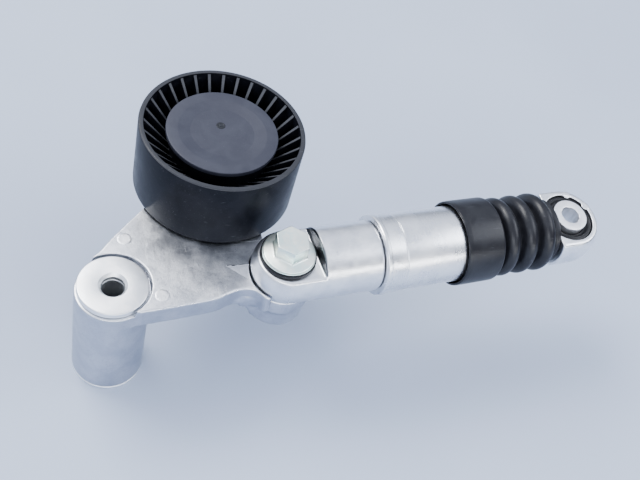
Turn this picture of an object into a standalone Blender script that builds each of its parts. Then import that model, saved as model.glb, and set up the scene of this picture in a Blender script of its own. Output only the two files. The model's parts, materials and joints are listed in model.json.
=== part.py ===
"""Hydraulic belt tensioner: die-cast arm on a pivot sleeve, idler pulley on a ball bearing, and a
spring-loaded oil strut with a rubber bellows and two rubber-bushed eyes.

Origin: pivot axis at the lower end of the pivot sleeve. +Z runs up the pivot axis, and +X points
from the pivot axis to the strut's lower bolt axis. Driving sizes are in millimetres.
"""
import math

import bmesh
import bpy
from mathutils import Matrix, Vector

MM = 0.001
FIT_GAP = 0.3              # clearance between neighbouring solids
FACE_GAP = 0.2             # clearance between clamped flat faces
CHAMFER = 0.4              # on turned edges
OVERLAP = 1.0              # how far a Boolean helper reaches past the face it cuts or joins

# pivot group
PIVOT_BORE_R = 4.6
PIVOT_SLEEVE_R = 8.0
PIVOT_HEAD_R = 14.28
PIVOT_TOP_Z = 57.0
PIVOT_HEAD_THICKNESS = 2.8
END_RING_R = 15.0
END_RING_THICKNESS = 1.2
BARREL_R = 15.15
BARREL_BOTTOM_Z = 1.5
BARREL_TOP_Z = 53.9
BARREL_BORE_R = 10.9
SPOT_FACE_R = 15.35
SEAL_POCKET_R = 12.6
SEAL_POCKET_DEPTH = 3.0
BUSH_LENGTH = 13.0

# arm casting
PLATE_TOP_Z = 57.2
PLATE_BOTTOM_Z = 47.0
STRUT_SEAT_Z = 51.3
STRUT_SEAT_THICKNESS = 5.8
GUSSET_TOP_X = 51.0
GUSSET_HALF_WIDTH = 6.5
WEDGE_TIP_X = 46.2         # a low three-cornered wedge on the plate's top rises towards the strut
WEDGE_TIP_Y = 5.0
WEDGE_SLOPE_X = 0.134
WEDGE_SLOPE_Y = 0.149
WEDGE_END_X = 57.5
WEDGE_SINK = 0.3           # below the plate's top, so that the two solids merge
STRUT_BOSS_R = 12.4
STRUT_BOSS_BOTTOM_Z = 33.0
STRUT_BOSS_CHAMFER = 2.2
STRUT_PAD_R = 12.7
STRUT_CLEARANCE_R = 15.8
STRUT_CLEARANCE_SHIFT = 1.1
PULLEY_BOSS_R = 13.0
PULLEY_BOSS_BOTTOM_Z = 42.0

# idler pulley
PULLEY_X = 49.4
PULLEY_Y = 50.6
PULLEY_R = 35.0
PULLEY_BOTTOM_Z = 58.5
PULLEY_WIDTH = 33.7
RIM_INNER_R = 32.84
HUB_OUTER_R = 21.7
WEB_THICKNESS = 3.5
RIB_COUNT = 32
RIB_THICKNESS = 1.25
RIB_DROP_AT_RIM = 0.5      # below the rim's edge
RIB_DROP_AT_HUB = 12.6
CAP_R = 23.7
CAP_TOP_BELOW_RIM = 2.5
CAP_THICKNESS = 2.1
CAP_DISH_R = 18.7
CAP_DISH_FLOOR_R = 13.5
CAP_DISH_DEPTH = 0.6
CAP_SKIRT_WALL = 1.4
CAP_SKIRT_DEPTH = 4.0
HUB_BELOW_BEARING = 3.0
HUB_LIP = 2.0              # how far the hub reaches in under the bearing
RIM_CHAMFER = 0.7

# ball bearing, 17 x 40 x 12
BEARING_BORE_R = 8.5
BEARING_OUTER_R = 20.0
BEARING_WIDTH = 12.0
BALL_R = 3.3735
BALL_PITCH_R = 14.25
BALL_COUNT = 8
INNER_RACE_R = 11.9
OUTER_RACE_R = 16.6
BEARING_SEAL_THICKNESS = 0.7
CAGE_HALF_WALL = 1.2
CAGE_BACK = 4.4            # cage below the balls' centres

# strut, measured along its own axis from the lower bolt axis
STRUT_BOLT_X = 70.36
STRUT_AXIS_Z = 59.8
STRUT_HEADING = 0.078      # radians from +X towards +Y
EYE_HALF_HEIGHT = 7.4
LOWER_SLEEVE_R = 6.5
LOWER_BUSH_R = 9.3
LOWER_LIP_R = 11.9
LOWER_LIP_THICKNESS = 1.8
HOUSING_R = 15.4
HOUSING_DOME_REACH = 14.2
HOUSING_SHOULDER_U = 12.8
HOUSING_END_U = 39.5
SPIGOT_R = 14.6
SPIGOT_END_U = 50.0
OIL_BORE_R = 10.5
OIL_BORE_FLOOR_U = 19.0
COLLAR_R = 17.8
COLLAR_END_U = 49.5
TUBE_R = 17.1
TUBE_INNER_R = 14.9
TUBE_END_U = 92.0
CYLINDER_R = 8.2
CYLINDER_BORE_R = 6.3
CYLINDER_END_U = 80.0
GUIDE_DEPTH = 6.0
GUIDE_FLANGE = 1.6
ROD_SEAL_THICKNESS = 2.1
LOWER_SEAT_R = 13.4
LOWER_SEAT_THICKNESS = 1.5
PISTON_U = 45.0
PISTON_LENGTH = 8.0
ROD_R = 5.0
ROD_END_U = 127.7
SPRING_MEAN_R = 10.0
SPRING_WIRE_R = 1.35
SPRING_TURNS = 6
UPPER_SEAT_R = 11.0
SEAT_UPPER_U = 121.6
SEAT_THICKNESS = 2.2
NECK_R = 11.0
CUFF_START_U = 78.6
CUFF_END_U = 101.0
CUFF_R = 19.2
BELLOWS_WALL = 1.4
BELLOWS_CREST_R = 18.1
BELLOWS_GROOVE_R = 13.7
BELLOWS_FIRST_CREST_U = 105.3
BELLOWS_PITCH = 9.5
BELLOWS_CRESTS = 3
BELLOWS_COLLAR_R = 14.6
BELLOWS_END_U = 130.2
CUFF_CHAMFER = 0.6
GROOVE_FLAT = 1.4
UPPER_EYE_U = 140.2
UPPER_EYE_R = 17.1
UPPER_EYE_HALF_HEIGHT = 8.9
UPPER_EYE_TURN = 0.111     # radians about the strut axis
UPPER_RUBBER_R = 12.1
UPPER_SLEEVE_R = 8.25
UPPER_SLEEVE_BORE_R = 4.44
UPPER_SLEEVE_HALF_LENGTH = 10.9

# fasteners
M8_R = 4.0
M8_HEX_ACROSS_FLATS = 13.0
M10_R = 5.0
M10_HEX_ACROSS_FLATS = 15.0
STRUT_WASHER_R = 11.4
STRUT_WASHER_THICKNESS = 0.6
STRUT_FLANGE_R = 11.2
STRUT_FLANGE_THICKNESS = 1.8
STRUT_HEAD_HEIGHT = 6.5
STRUT_HEAD_TURN = 0.4         # radians
PULLEY_FLANGE_THICKNESS = 1.4
PULLEY_HEAD_HEIGHT = 3.5

# check valve
VALVE_SEAT_BORE_R = 1.6
VALVE_SEAT_THICKNESS = 3.0
VALVE_BALL_R = 2.0
VALVE_SPRING_R = 1.7
VALVE_WIRE_R = 0.25
VALVE_SPRING_LENGTH = 2.4
RETAINER_R = 3.5
RETAINER_WALL = 0.7
RETAINER_HEIGHT = 8.0
RETAINER_HOLE_R = 1.0

ROUND = 32                 # facets round a large turned piece
SMALL_ROUND = 20           # facets round a small turned piece
BELLOWS_ROUND = 24         # facets round the bellows
TINY_ROUND = 12            # facets round the check valve's pieces


def clear_scene():
    for item in list(bpy.data.objects):
        bpy.data.objects.remove(item, do_unlink=True)


def make_material(name, color, roughness, metallic):
    material = bpy.data.materials.new(name)
    material.use_nodes = True
    shader = material.node_tree.nodes["Principled BSDF"]
    shader.inputs["Base Color"].default_value = (*color, 1.0)
    shader.inputs["Roughness"].default_value = roughness
    shader.inputs["Metallic"].default_value = metallic
    return material


def make_axis(name, location=(0, 0, 0), rotation=(0, 0, 0)):
    """An empty on a joint's axis. It scales its children, drawn in millimetres, to metres."""
    empty = bpy.data.objects.new(name, None)
    bpy.context.collection.objects.link(empty)
    empty.location = Vector(location) * MM
    empty.rotation_euler = rotation
    empty.scale = (MM, MM, MM)
    return empty


def add_object(name, bm, material, parent, location=(0, 0, 0), rotation=(0, 0, 0)):
    """Turn a bmesh drawn in millimetres into a named object with its normals pointing out."""
    bmesh.ops.remove_doubles(bm, verts=bm.verts, dist=1e-5)
    bmesh.ops.recalc_face_normals(bm, faces=bm.faces)
    mesh = bpy.data.meshes.new(name)
    bm.to_mesh(mesh)
    bm.free()
    mesh.shade_smooth()
    mesh.set_sharp_from_angle(angle=math.radians(35))
    item = bpy.data.objects.new(name, mesh)
    bpy.context.collection.objects.link(item)
    item.parent = parent
    item.location = location
    item.rotation_euler = rotation
    if material:
        mesh.materials.append(material)
    return item


def turned_bmesh(profile, segments, closed):
    """Revolve (radius, height) points about Z. A closed profile is a ring's section; an open one
    starts and ends on the axis."""
    bm = bmesh.new()
    rings = []
    for radius, height in profile:
        if radius == 0:
            rings.append([bm.verts.new((0, 0, height))] * segments)
            continue
        ring = []
        for k in range(segments):
            angle = 2 * math.pi * k / segments
            ring.append(bm.verts.new((radius * math.cos(angle), radius * math.sin(angle), height)))
        rings.append(ring)
    pairs = list(zip(rings, rings[1:]))
    if closed:
        pairs.append((rings[-1], rings[0]))
    for lower, upper in pairs:
        for k in range(segments):
            after = (k + 1) % segments
            corners = [lower[k], lower[after], upper[after], upper[k]]
            bm.faces.new(list(dict.fromkeys(corners)))
    return bm


def turned_ring(name, profile, material, parent, segments=ROUND, **place):
    return add_object(name, turned_bmesh(profile, segments, True), material, parent, **place)


def turned_solid(name, profile, material, parent, segments=ROUND, **place):
    return add_object(name, turned_bmesh(profile, segments, False), material, parent, **place)


def tube_profile(inner, outer, low, high, chamfer=0.0):
    """Section of a plain tube, with its outer edges chamfered when asked."""
    if chamfer == 0:
        return [(inner, low), (outer, low), (outer, high), (inner, high)]
    return [(inner, low), (outer - chamfer, low), (outer, low + chamfer),
            (outer, high - chamfer), (outer - chamfer, high), (inner, high)]


def rod_profile(radius, low, high):
    return [(0, low), (radius, low), (radius, high), (0, high)]


def capsule_profile(radius, reach, flat_end, steps=6):
    """A round bar from flat_end to the origin, where a dome ends it that reaches out along +Z."""
    dome = [(radius * math.cos(math.pi / 2 * k / steps), reach * math.sin(math.pi / 2 * k / steps))
            for k in range(steps)]
    return [(0, flat_end), (radius, flat_end)] + dome + [(0, reach)]


def cut_flats(target, radius, half_height, start, end, parent):
    """Mill two flats, above and below the bar's axis, between two distances along X."""
    outline = [(start, -radius), (end, -radius), (end, radius), (start, radius)]
    add_prism(target, "DIFFERENCE", outline, half_height, radius, parent)
    add_prism(target, "DIFFERENCE", outline, -radius, -half_height, parent)


def prism_bmesh(outline, low, high):
    bm = bmesh.new()
    base = bm.faces.new([bm.verts.new((x, y, low)) for x, y in outline])
    raised = bmesh.ops.extrude_face_region(bm, geom=[base])
    lifted = [item for item in raised["geom"] if isinstance(item, bmesh.types.BMVert)]
    bmesh.ops.translate(bm, vec=(0, 0, high - low), verts=lifted)
    return bm


def hull_bmesh(points):
    """The convex solid that spans some corner points."""
    bm = bmesh.new()
    corners = [bm.verts.new(point) for point in points]
    bmesh.ops.convex_hull(bm, input=corners)
    return bm


def arc(center_x, center_y, radius, start_deg, end_deg, steps):
    """Points along an arc, both ends included."""
    points = []
    for k in range(steps + 1):
        angle = math.radians(start_deg + (end_deg - start_deg) * k / steps)
        points.append((center_x + radius * math.cos(angle), center_y + radius * math.sin(angle)))
    return points


def combine(target, operation, tool):
    """Add a Boolean of a helper solid to a part, and mark the helper as one."""
    tool.hide_render = True
    tool.display_type = "WIRE"
    modifier = target.modifiers.new(tool.name, "BOOLEAN")
    modifier.operation = operation
    modifier.solver = "EXACT"
    modifier.object = tool


def add_disc(target, operation, radius, low, high, parent, location=(0, 0, 0),
             rotation=(0, 0, 0), segments=ROUND):
    """Unite or cut a part with a round bar that runs from low to high on the bar's own Z."""
    name = f"tool_{target.name}_{len(target.modifiers)}"
    tool = turned_solid(name, rod_profile(radius, low, high), None, parent, segments,
                        location=location, rotation=rotation)
    combine(target, operation, tool)


def add_prism(target, operation, outline, low, high, parent, rotation=(0, 0, 0)):
    name = f"tool_{target.name}_{len(target.modifiers)}"
    tool = add_object(name, prism_bmesh(outline, low, high), None, parent, rotation=rotation)
    combine(target, operation, tool)


def add_hull(target, operation, points, parent):
    name = f"tool_{target.name}_{len(target.modifiers)}"
    combine(target, operation, add_object(name, hull_bmesh(points), None, parent))


def helix_bmesh(mean_radius, wire_radius, low, high, turns, steps_per_turn, sides):
    """A coil spring's wire: a tube swept up a helix about Z, with flat ends."""
    bm = bmesh.new()
    count = int(turns * steps_per_turn)
    slope = (high - low) / (2 * math.pi * turns * mean_radius)
    loops = []
    for k in range(count + 1):
        angle = 2 * math.pi * k / steps_per_turn
        outward = Vector((math.cos(angle), math.sin(angle), 0))
        forward = Vector((-math.sin(angle), math.cos(angle), slope)).normalized()
        upward = outward.cross(forward)
        center = outward * mean_radius + Vector((0, 0, low + (high - low) * k / count))
        loop = []
        for side in range(sides):
            turn = 2 * math.pi * side / sides
            offset = outward * math.cos(turn) + upward * math.sin(turn)
            loop.append(bm.verts.new(center + offset * wire_radius))
        loops.append(loop)
    for first, second in zip(loops, loops[1:]):
        for side in range(sides):
            after = (side + 1) % sides
            bm.faces.new([first[side], first[after], second[after], second[side]])
    bm.faces.new(loops[0])
    bm.faces.new(loops[-1])
    return bm


def hex_bolt(name, across_flats, flange_radius, flange_low, flange_high, head_high, shank_radius,
             shank_low, material, parent, location, turn=0.0):
    """A flange bolt, pointing down: hexagon head at some turn, round flange and plain shank."""
    flange = [(0, shank_low), (shank_radius - CHAMFER, shank_low),
              (shank_radius, shank_low + CHAMFER), (shank_radius, flange_low),
              (flange_radius, flange_low), (flange_radius, (flange_low + flange_high) / 2),
              (across_flats / 2 + CHAMFER, flange_high), (0, flange_high)]
    bolt = turned_solid(name, flange, material, parent, SMALL_ROUND, location=location)
    corner = across_flats / math.sqrt(3)
    head = turned_bmesh([(0, flange_high - CHAMFER), (corner, flange_high - CHAMFER),
                         (corner, head_high - CHAMFER / 2), (corner - CHAMFER, head_high),
                         (0, head_high)], 6, False)
    combine(bolt, "UNION", add_object(f"tool_{name}_head", head, None, parent, location=location,
                                      rotation=(0, 0, turn)))
    return bolt


def build_pivot(parent, steel):
    """The parts bolted to the engine, which the arm turns on."""
    head_low = PIVOT_TOP_Z - PIVOT_HEAD_THICKNESS
    turned_ring("pivot_sleeve",
                tube_profile(PIVOT_BORE_R, PIVOT_SLEEVE_R, 0, head_low - FIT_GAP, CHAMFER),
                steel, parent, SMALL_ROUND)
    turned_ring("pivot_head_washer",
                tube_profile(PIVOT_BORE_R, PIVOT_HEAD_R, head_low, PIVOT_TOP_Z, CHAMFER), steel,
                parent)
    turned_ring("pivot_end_ring",
                tube_profile(PIVOT_SLEEVE_R + FIT_GAP, END_RING_R, 0, END_RING_THICKNESS,
                             CHAMFER),
                steel, parent)


def build_pivot_bearings(parent, bronze, rubber):
    inner = PIVOT_SLEEVE_R + FIT_GAP
    bush_r = BARREL_BORE_R - FIT_GAP
    seal_r = SEAL_POCKET_R - FIT_GAP
    pocket_low = BARREL_BOTTOM_Z + SEAL_POCKET_DEPTH
    pocket_high = BARREL_TOP_Z - SEAL_POCKET_DEPTH
    for side, low in (("lower", pocket_low + FIT_GAP), ("upper", pocket_high - FIT_GAP - BUSH_LENGTH)):
        turned_ring(f"pivot_bush_{side}", tube_profile(inner, bush_r, low, low + BUSH_LENGTH),
                    bronze, parent, SMALL_ROUND)
    seal_height = SEAL_POCKET_DEPTH - 2 * FIT_GAP
    for side, low in (("lower", BARREL_BOTTOM_Z + FIT_GAP), ("upper", pocket_high + FIT_GAP)):
        turned_ring(f"pivot_seal_{side}", tube_profile(inner, seal_r, low, low + seal_height),
                    rubber, parent, SMALL_ROUND)


def plate_outline():
    """The arm's plate: front edge, strut side, round the pulley boss, and back to the barrel."""
    front = [(4.0, -14.7), (29.5, -12.3), (40.4, -11.2), (45.0, -9.1), (50.2, -7.5), (54.2, -7.6),
             (57.0, -9.2), (58.6, -11.4), (59.8, -14.3)]
    strut_side = [(64.0, -14.3), (64.0, -4.0), (66.3, 14.6)]
    pulley_boss = arc(PULLEY_X, PULLEY_Y, PULLEY_BOSS_R + 1.0, -10, 135, 10)
    back = [(28.0, 49.0), (16.2, 37.5), (6.2, 27.8), (0.9, 22.2), (-3.1, 17.1), (-8.5, 12.8)]
    return front + strut_side + pulley_boss + back + [(0.0, 0.0)]


def wedge_corners():
    """Corners of the wedge: a level wall along X, and one facet that slopes down from it."""
    start_x = WEDGE_TIP_X - WEDGE_SINK / WEDGE_SLOPE_X
    rise = WEDGE_SLOPE_X * (WEDGE_END_X - WEDGE_TIP_X)
    low_y = WEDGE_TIP_Y - (WEDGE_SINK + rise) / WEDGE_SLOPE_Y
    corners = [(start_x, WEDGE_TIP_Y, -WEDGE_SINK), (WEDGE_END_X, low_y, -WEDGE_SINK),
               (WEDGE_END_X, WEDGE_TIP_Y, -WEDGE_SINK), (WEDGE_END_X, WEDGE_TIP_Y, rise)]
    return [(x, y, PLATE_TOP_Z + height) for x, y, height in corners]


def build_arm_casting(parent, cast):
    """Plate, barrel and bosses as one casting, with its bores and seats cut."""
    strut_bolt = (STRUT_BOLT_X, 0, 0)
    pulley = (PULLEY_X, PULLEY_Y, 0)
    arm = add_object("arm_casting", prism_bmesh(plate_outline(), PLATE_BOTTOM_Z, PLATE_TOP_Z),
                     cast, parent)
    add_hull(arm, "UNION", wedge_corners(), parent)
    clearance = arc(STRUT_BOLT_X + STRUT_CLEARANCE_SHIFT, 0, STRUT_CLEARANCE_R, 0, 352.5, 47)
    add_prism(arm, "DIFFERENCE", clearance, PLATE_BOTTOM_Z - OVERLAP,
              PLATE_TOP_Z + 2 * OVERLAP, parent)
    seat = arc(STRUT_BOLT_X, 0, STRUT_PAD_R, -125, 110, 20) + [(52.0, 12.0), (52.0, -7.4)]
    add_prism(arm, "UNION", seat, STRUT_SEAT_Z - STRUT_SEAT_THICKNESS, STRUT_SEAT_Z, parent)
    foot_x = STRUT_BOLT_X - STRUT_BOSS_R
    foot_z = STRUT_BOSS_BOTTOM_Z + STRUT_BOSS_CHAMFER + OVERLAP
    gusset = [(GUSSET_TOP_X, PLATE_BOTTOM_Z + OVERLAP), (foot_x, foot_z), (STRUT_BOLT_X, foot_z),
              (STRUT_BOLT_X, PLATE_BOTTOM_Z + OVERLAP)]
    add_prism(arm, "UNION", gusset, -GUSSET_HALF_WIDTH, GUSSET_HALF_WIDTH, parent,
              rotation=(math.pi / 2, 0, 0))
    boss_high = STRUT_SEAT_Z - OVERLAP
    boss = [(0, STRUT_BOSS_BOTTOM_Z), (STRUT_BOSS_R - STRUT_BOSS_CHAMFER, STRUT_BOSS_BOTTOM_Z),
            (STRUT_BOSS_R, STRUT_BOSS_BOTTOM_Z + STRUT_BOSS_CHAMFER), (STRUT_BOSS_R, boss_high),
            (0, boss_high)]
    combine(arm, "UNION", turned_solid("tool_strut_boss", boss, None, parent, location=strut_bolt))
    add_disc(arm, "UNION", PULLEY_BOSS_R, PULLEY_BOSS_BOTTOM_Z, PLATE_TOP_Z - OVERLAP, parent,
             pulley)
    add_disc(arm, "UNION", BARREL_R, BARREL_BOTTOM_Z, BARREL_TOP_Z + OVERLAP, parent)
    top = PLATE_TOP_Z + OVERLAP
    add_disc(arm, "DIFFERENCE", SPOT_FACE_R, BARREL_TOP_Z, top, parent)
    pocket_low = BARREL_BOTTOM_Z + SEAL_POCKET_DEPTH
    pocket_high = BARREL_TOP_Z - SEAL_POCKET_DEPTH
    bore = [(0, 0), (SEAL_POCKET_R, 0), (SEAL_POCKET_R, pocket_low), (BARREL_BORE_R, pocket_low),
            (BARREL_BORE_R, pocket_high), (SEAL_POCKET_R, pocket_high), (SEAL_POCKET_R, top),
            (0, top)]
    combine(arm, "DIFFERENCE", turned_solid("tool_barrel_bore", bore, None, parent))
    add_disc(arm, "DIFFERENCE", M8_R + FIT_GAP, 0, top, parent, strut_bolt, segments=SMALL_ROUND)
    add_disc(arm, "DIFFERENCE", M10_R + FIT_GAP, 0, top, parent, pulley, segments=SMALL_ROUND)


def pulley_cells():
    """The pulley's section as polygons that share edges: (points, solid only where a rib is)."""
    low = PULLEY_BOTTOM_Z
    high = PULLEY_BOTTOM_Z + PULLEY_WIDTH
    middle = (low + high) / 2
    web_low = middle - WEB_THICKNESS / 2
    web_high = middle + WEB_THICKNESS / 2
    hub_low = middle - BEARING_WIDTH / 2 - HUB_BELOW_BEARING
    hub_high = high - CAP_TOP_BELOW_RIM - CAP_THICKNESS - FIT_GAP
    seat_r = BEARING_OUTER_R + FIT_GAP
    lip_r = BEARING_OUTER_R - HUB_LIP
    seat_z = middle - BEARING_WIDTH / 2 - FIT_GAP
    rim_rib_low = low + RIB_DROP_AT_RIM
    rim_rib_high = high - RIB_DROP_AT_RIM
    hub_rib_low = low + RIB_DROP_AT_HUB
    hub_rib_high = high - RIB_DROP_AT_HUB
    rim = [(RIM_INNER_R, low), (PULLEY_R - RIM_CHAMFER, low), (PULLEY_R, low + RIM_CHAMFER),
           (PULLEY_R, high - RIM_CHAMFER), (PULLEY_R - RIM_CHAMFER, high), (RIM_INNER_R, high),
           (RIM_INNER_R, rim_rib_high), (RIM_INNER_R, web_high), (RIM_INNER_R, web_low),
           (RIM_INNER_R, rim_rib_low)]
    hub = [(lip_r, hub_low), (HUB_OUTER_R, hub_low), (HUB_OUTER_R, hub_rib_low),
           (HUB_OUTER_R, web_low), (HUB_OUTER_R, web_high), (HUB_OUTER_R, hub_rib_high),
           (HUB_OUTER_R, hub_high), (seat_r, hub_high), (seat_r, seat_z), (lip_r, seat_z)]
    web = [(HUB_OUTER_R, web_low), (RIM_INNER_R, web_low), (RIM_INNER_R, web_high),
           (HUB_OUTER_R, web_high)]
    upper_rib = [(HUB_OUTER_R, web_high), (RIM_INNER_R, web_high), (RIM_INNER_R, rim_rib_high),
                 (HUB_OUTER_R, hub_rib_high)]
    lower_rib = [(HUB_OUTER_R, hub_rib_low), (RIM_INNER_R, rim_rib_low), (RIM_INNER_R, web_low),
                 (HUB_OUTER_R, web_low)]
    return [(rim, False), (hub, False), (web, False), (upper_rib, True), (lower_rib, True)]


def build_pulley(parent, plastic):
    """The moulded pulley: rim, web and hub, with radial ribs above and below the web."""
    cells = pulley_cells()
    rib_half = math.asin(RIB_THICKNESS / (HUB_OUTER_R + RIM_INNER_R))
    pitch = 2 * math.pi / RIB_COUNT
    angles = []
    for k in range(RIB_COUNT):
        angles += [k * pitch - rib_half, k * pitch + rib_half]
    bm = bmesh.new()
    vertices = {}

    def vertex(point, slab):
        key = (point, slab % len(angles))
        if key not in vertices:
            angle = angles[key[1]]
            place = (point[0] * math.cos(angle), point[0] * math.sin(angle), point[1])
            vertices[key] = bm.verts.new(place)
        return vertices[key]

    for slab in range(len(angles)):
        in_rib = slab % 2 == 0
        solid = [points for points, rib_only in cells if in_rib or not rib_only]
        edges = {(a, b) for points in solid for a, b in zip(points, points[1:] + points[:1])}
        for a, b in sorted(edges):
            if (b, a) not in edges:
                bm.faces.new([vertex(a, slab), vertex(a, slab + 1), vertex(b, slab + 1),
                              vertex(b, slab)])
        if in_rib:
            for points, rib_only in cells:
                if rib_only:
                    bm.faces.new([vertex(point, slab) for point in points])
                    bm.faces.new([vertex(point, slab + 1) for point in points])
    add_object("pulley_wheel", bm, plastic, parent)


def build_dust_cap(parent, plastic):
    """A shallow lid with a dished centre and a skirt that clips into the hub."""
    top = PULLEY_BOTTOM_Z + PULLEY_WIDTH - CAP_TOP_BELOW_RIM
    low = top - CAP_THICKNESS
    underside = top - CAP_THICKNESS + CHAMFER
    skirt_r = BEARING_OUTER_R
    skirt_inner_r = skirt_r - CAP_SKIRT_WALL
    skirt_low = low - CAP_SKIRT_DEPTH
    floor = top - CAP_DISH_DEPTH
    profile = [(0, underside), (skirt_inner_r, underside), (skirt_inner_r, skirt_low),
               (skirt_r, skirt_low), (skirt_r, low), (CAP_R, low), (CAP_R, top - CHAMFER),
               (CAP_R - CHAMFER, top), (CAP_DISH_R, top), (CAP_DISH_FLOOR_R, floor), (0, floor)]
    turned_solid("pulley_dust_cap", profile, plastic, parent)


def groove(race_r, ball_side, middle):
    """Points of a ball groove cut in a race, from low to high; ball_side is where the ball is."""
    radius = BALL_R + FIT_GAP
    reach = math.acos(abs(BALL_PITCH_R - race_r) / radius)
    points = []
    for k in range(5):
        angle = reach * (k / 2 - 1)
        points.append((BALL_PITCH_R + ball_side * radius * math.cos(angle),
                       middle + radius * math.sin(angle)))
    return points


def build_bearing(pulley_axis, arm_axis, cage_axis, steel, rubber, nylon):
    middle = PULLEY_BOTTOM_Z + PULLEY_WIDTH / 2
    low = middle - BEARING_WIDTH / 2
    high = middle + BEARING_WIDTH / 2
    inner = ([(BEARING_BORE_R, low), (INNER_RACE_R, low)] + groove(INNER_RACE_R, -1, middle)
             + [(INNER_RACE_R, high), (BEARING_BORE_R, high)])
    outer = ([(BEARING_OUTER_R, high), (OUTER_RACE_R, high)]
             + list(reversed(groove(OUTER_RACE_R, 1, middle)))
             + [(OUTER_RACE_R, low), (BEARING_OUTER_R, low)])
    turned_ring("bearing_inner_race", inner, steel, arm_axis, SMALL_ROUND)
    turned_ring("bearing_outer_race", outer, steel, pulley_axis, ROUND)
    seal_inner = INNER_RACE_R + FIT_GAP
    seal_outer = OUTER_RACE_R - FIT_GAP
    upper_low = high - FACE_GAP - BEARING_SEAL_THICKNESS
    for side, seal_low in (("lower", low + FACE_GAP), ("upper", upper_low)):
        turned_ring(f"bearing_seal_{side}",
                    tube_profile(seal_inner, seal_outer, seal_low,
                                 seal_low + BEARING_SEAL_THICKNESS), rubber, pulley_axis,
                    SMALL_ROUND)
    cage = turned_ring("bearing_cage",
                       tube_profile(BALL_PITCH_R - CAGE_HALF_WALL, BALL_PITCH_R + CAGE_HALF_WALL,
                                    middle - CAGE_BACK, middle + CAGE_HALF_WALL), nylon,
                       cage_axis, SMALL_ROUND)
    for k in range(BALL_COUNT):
        angle = 2 * math.pi * k / BALL_COUNT
        place = (BALL_PITCH_R * math.cos(angle), BALL_PITCH_R * math.sin(angle), middle)
        ball = bmesh.new()
        bmesh.ops.create_icosphere(ball, subdivisions=2, radius=BALL_R)
        add_object(f"bearing_ball_{k + 1}", ball, steel, cage_axis, location=place)
        pocket = bmesh.new()
        bmesh.ops.create_icosphere(pocket, subdivisions=2, radius=BALL_R + 2 * FIT_GAP)
        combine(cage, "DIFFERENCE",
                add_object(f"tool_pocket_{k + 1}", pocket, None, cage_axis, location=place))


def build_pulley_mounting(parent, steel, zinc):
    """The stepped spacer that carries the bearing, and the bolt through it."""
    middle = PULLEY_BOTTOM_Z + PULLEY_WIDTH / 2
    inner_low = middle - BEARING_WIDTH / 2 - FIT_GAP
    top = middle + BEARING_WIDTH / 2
    bore = M10_R + FIT_GAP
    journal = BEARING_BORE_R - FIT_GAP
    shoulder = INNER_RACE_R - CHAMFER
    turned_ring("bearing_spacer",
                [(bore, PLATE_TOP_Z + FIT_GAP), (shoulder, PLATE_TOP_Z + FIT_GAP),
                 (shoulder, inner_low), (journal, inner_low), (journal, top), (bore, top)],
                steel, parent, SMALL_ROUND)
    flange_low = top + FIT_GAP
    flange_high = flange_low + PULLEY_FLANGE_THICKNESS
    hex_bolt("pulley_bolt", M10_HEX_ACROSS_FLATS, shoulder, flange_low, flange_high,
             flange_high + PULLEY_HEAD_HEIGHT, M10_R, PULLEY_BOSS_BOTTOM_Z + OVERLAP, zinc,
             parent, (0, 0, 0))


def build_strut_mounting(parent, steel, zinc):
    """The bolt, washer and clamped sleeve that hold the strut's lower eye to the arm."""
    place = (STRUT_BOLT_X, 0, 0)
    washer_low = STRUT_AXIS_Z + EYE_HALF_HEIGHT + LOWER_LIP_THICKNESS + 2 * FACE_GAP
    bore = M8_R + FIT_GAP
    turned_ring("strut_lower_sleeve",
                tube_profile(bore, LOWER_SLEEVE_R, STRUT_SEAT_Z + FIT_GAP, washer_low - FACE_GAP), steel,
                parent, SMALL_ROUND, location=place)
    washer_high = washer_low + STRUT_WASHER_THICKNESS
    turned_ring("strut_bolt_washer", tube_profile(bore, STRUT_WASHER_R, washer_low, washer_high),
                zinc, parent, SMALL_ROUND, location=place)
    flange_low = washer_high + FACE_GAP
    flange_high = flange_low + STRUT_FLANGE_THICKNESS
    hex_bolt("strut_bolt", M8_HEX_ACROSS_FLATS, STRUT_FLANGE_R, flange_low, flange_high,
             flange_high + STRUT_HEAD_HEIGHT, M8_R, STRUT_BOSS_BOTTOM_Z + OVERLAP, zinc, parent,
             place, STRUT_HEAD_TURN)


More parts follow.
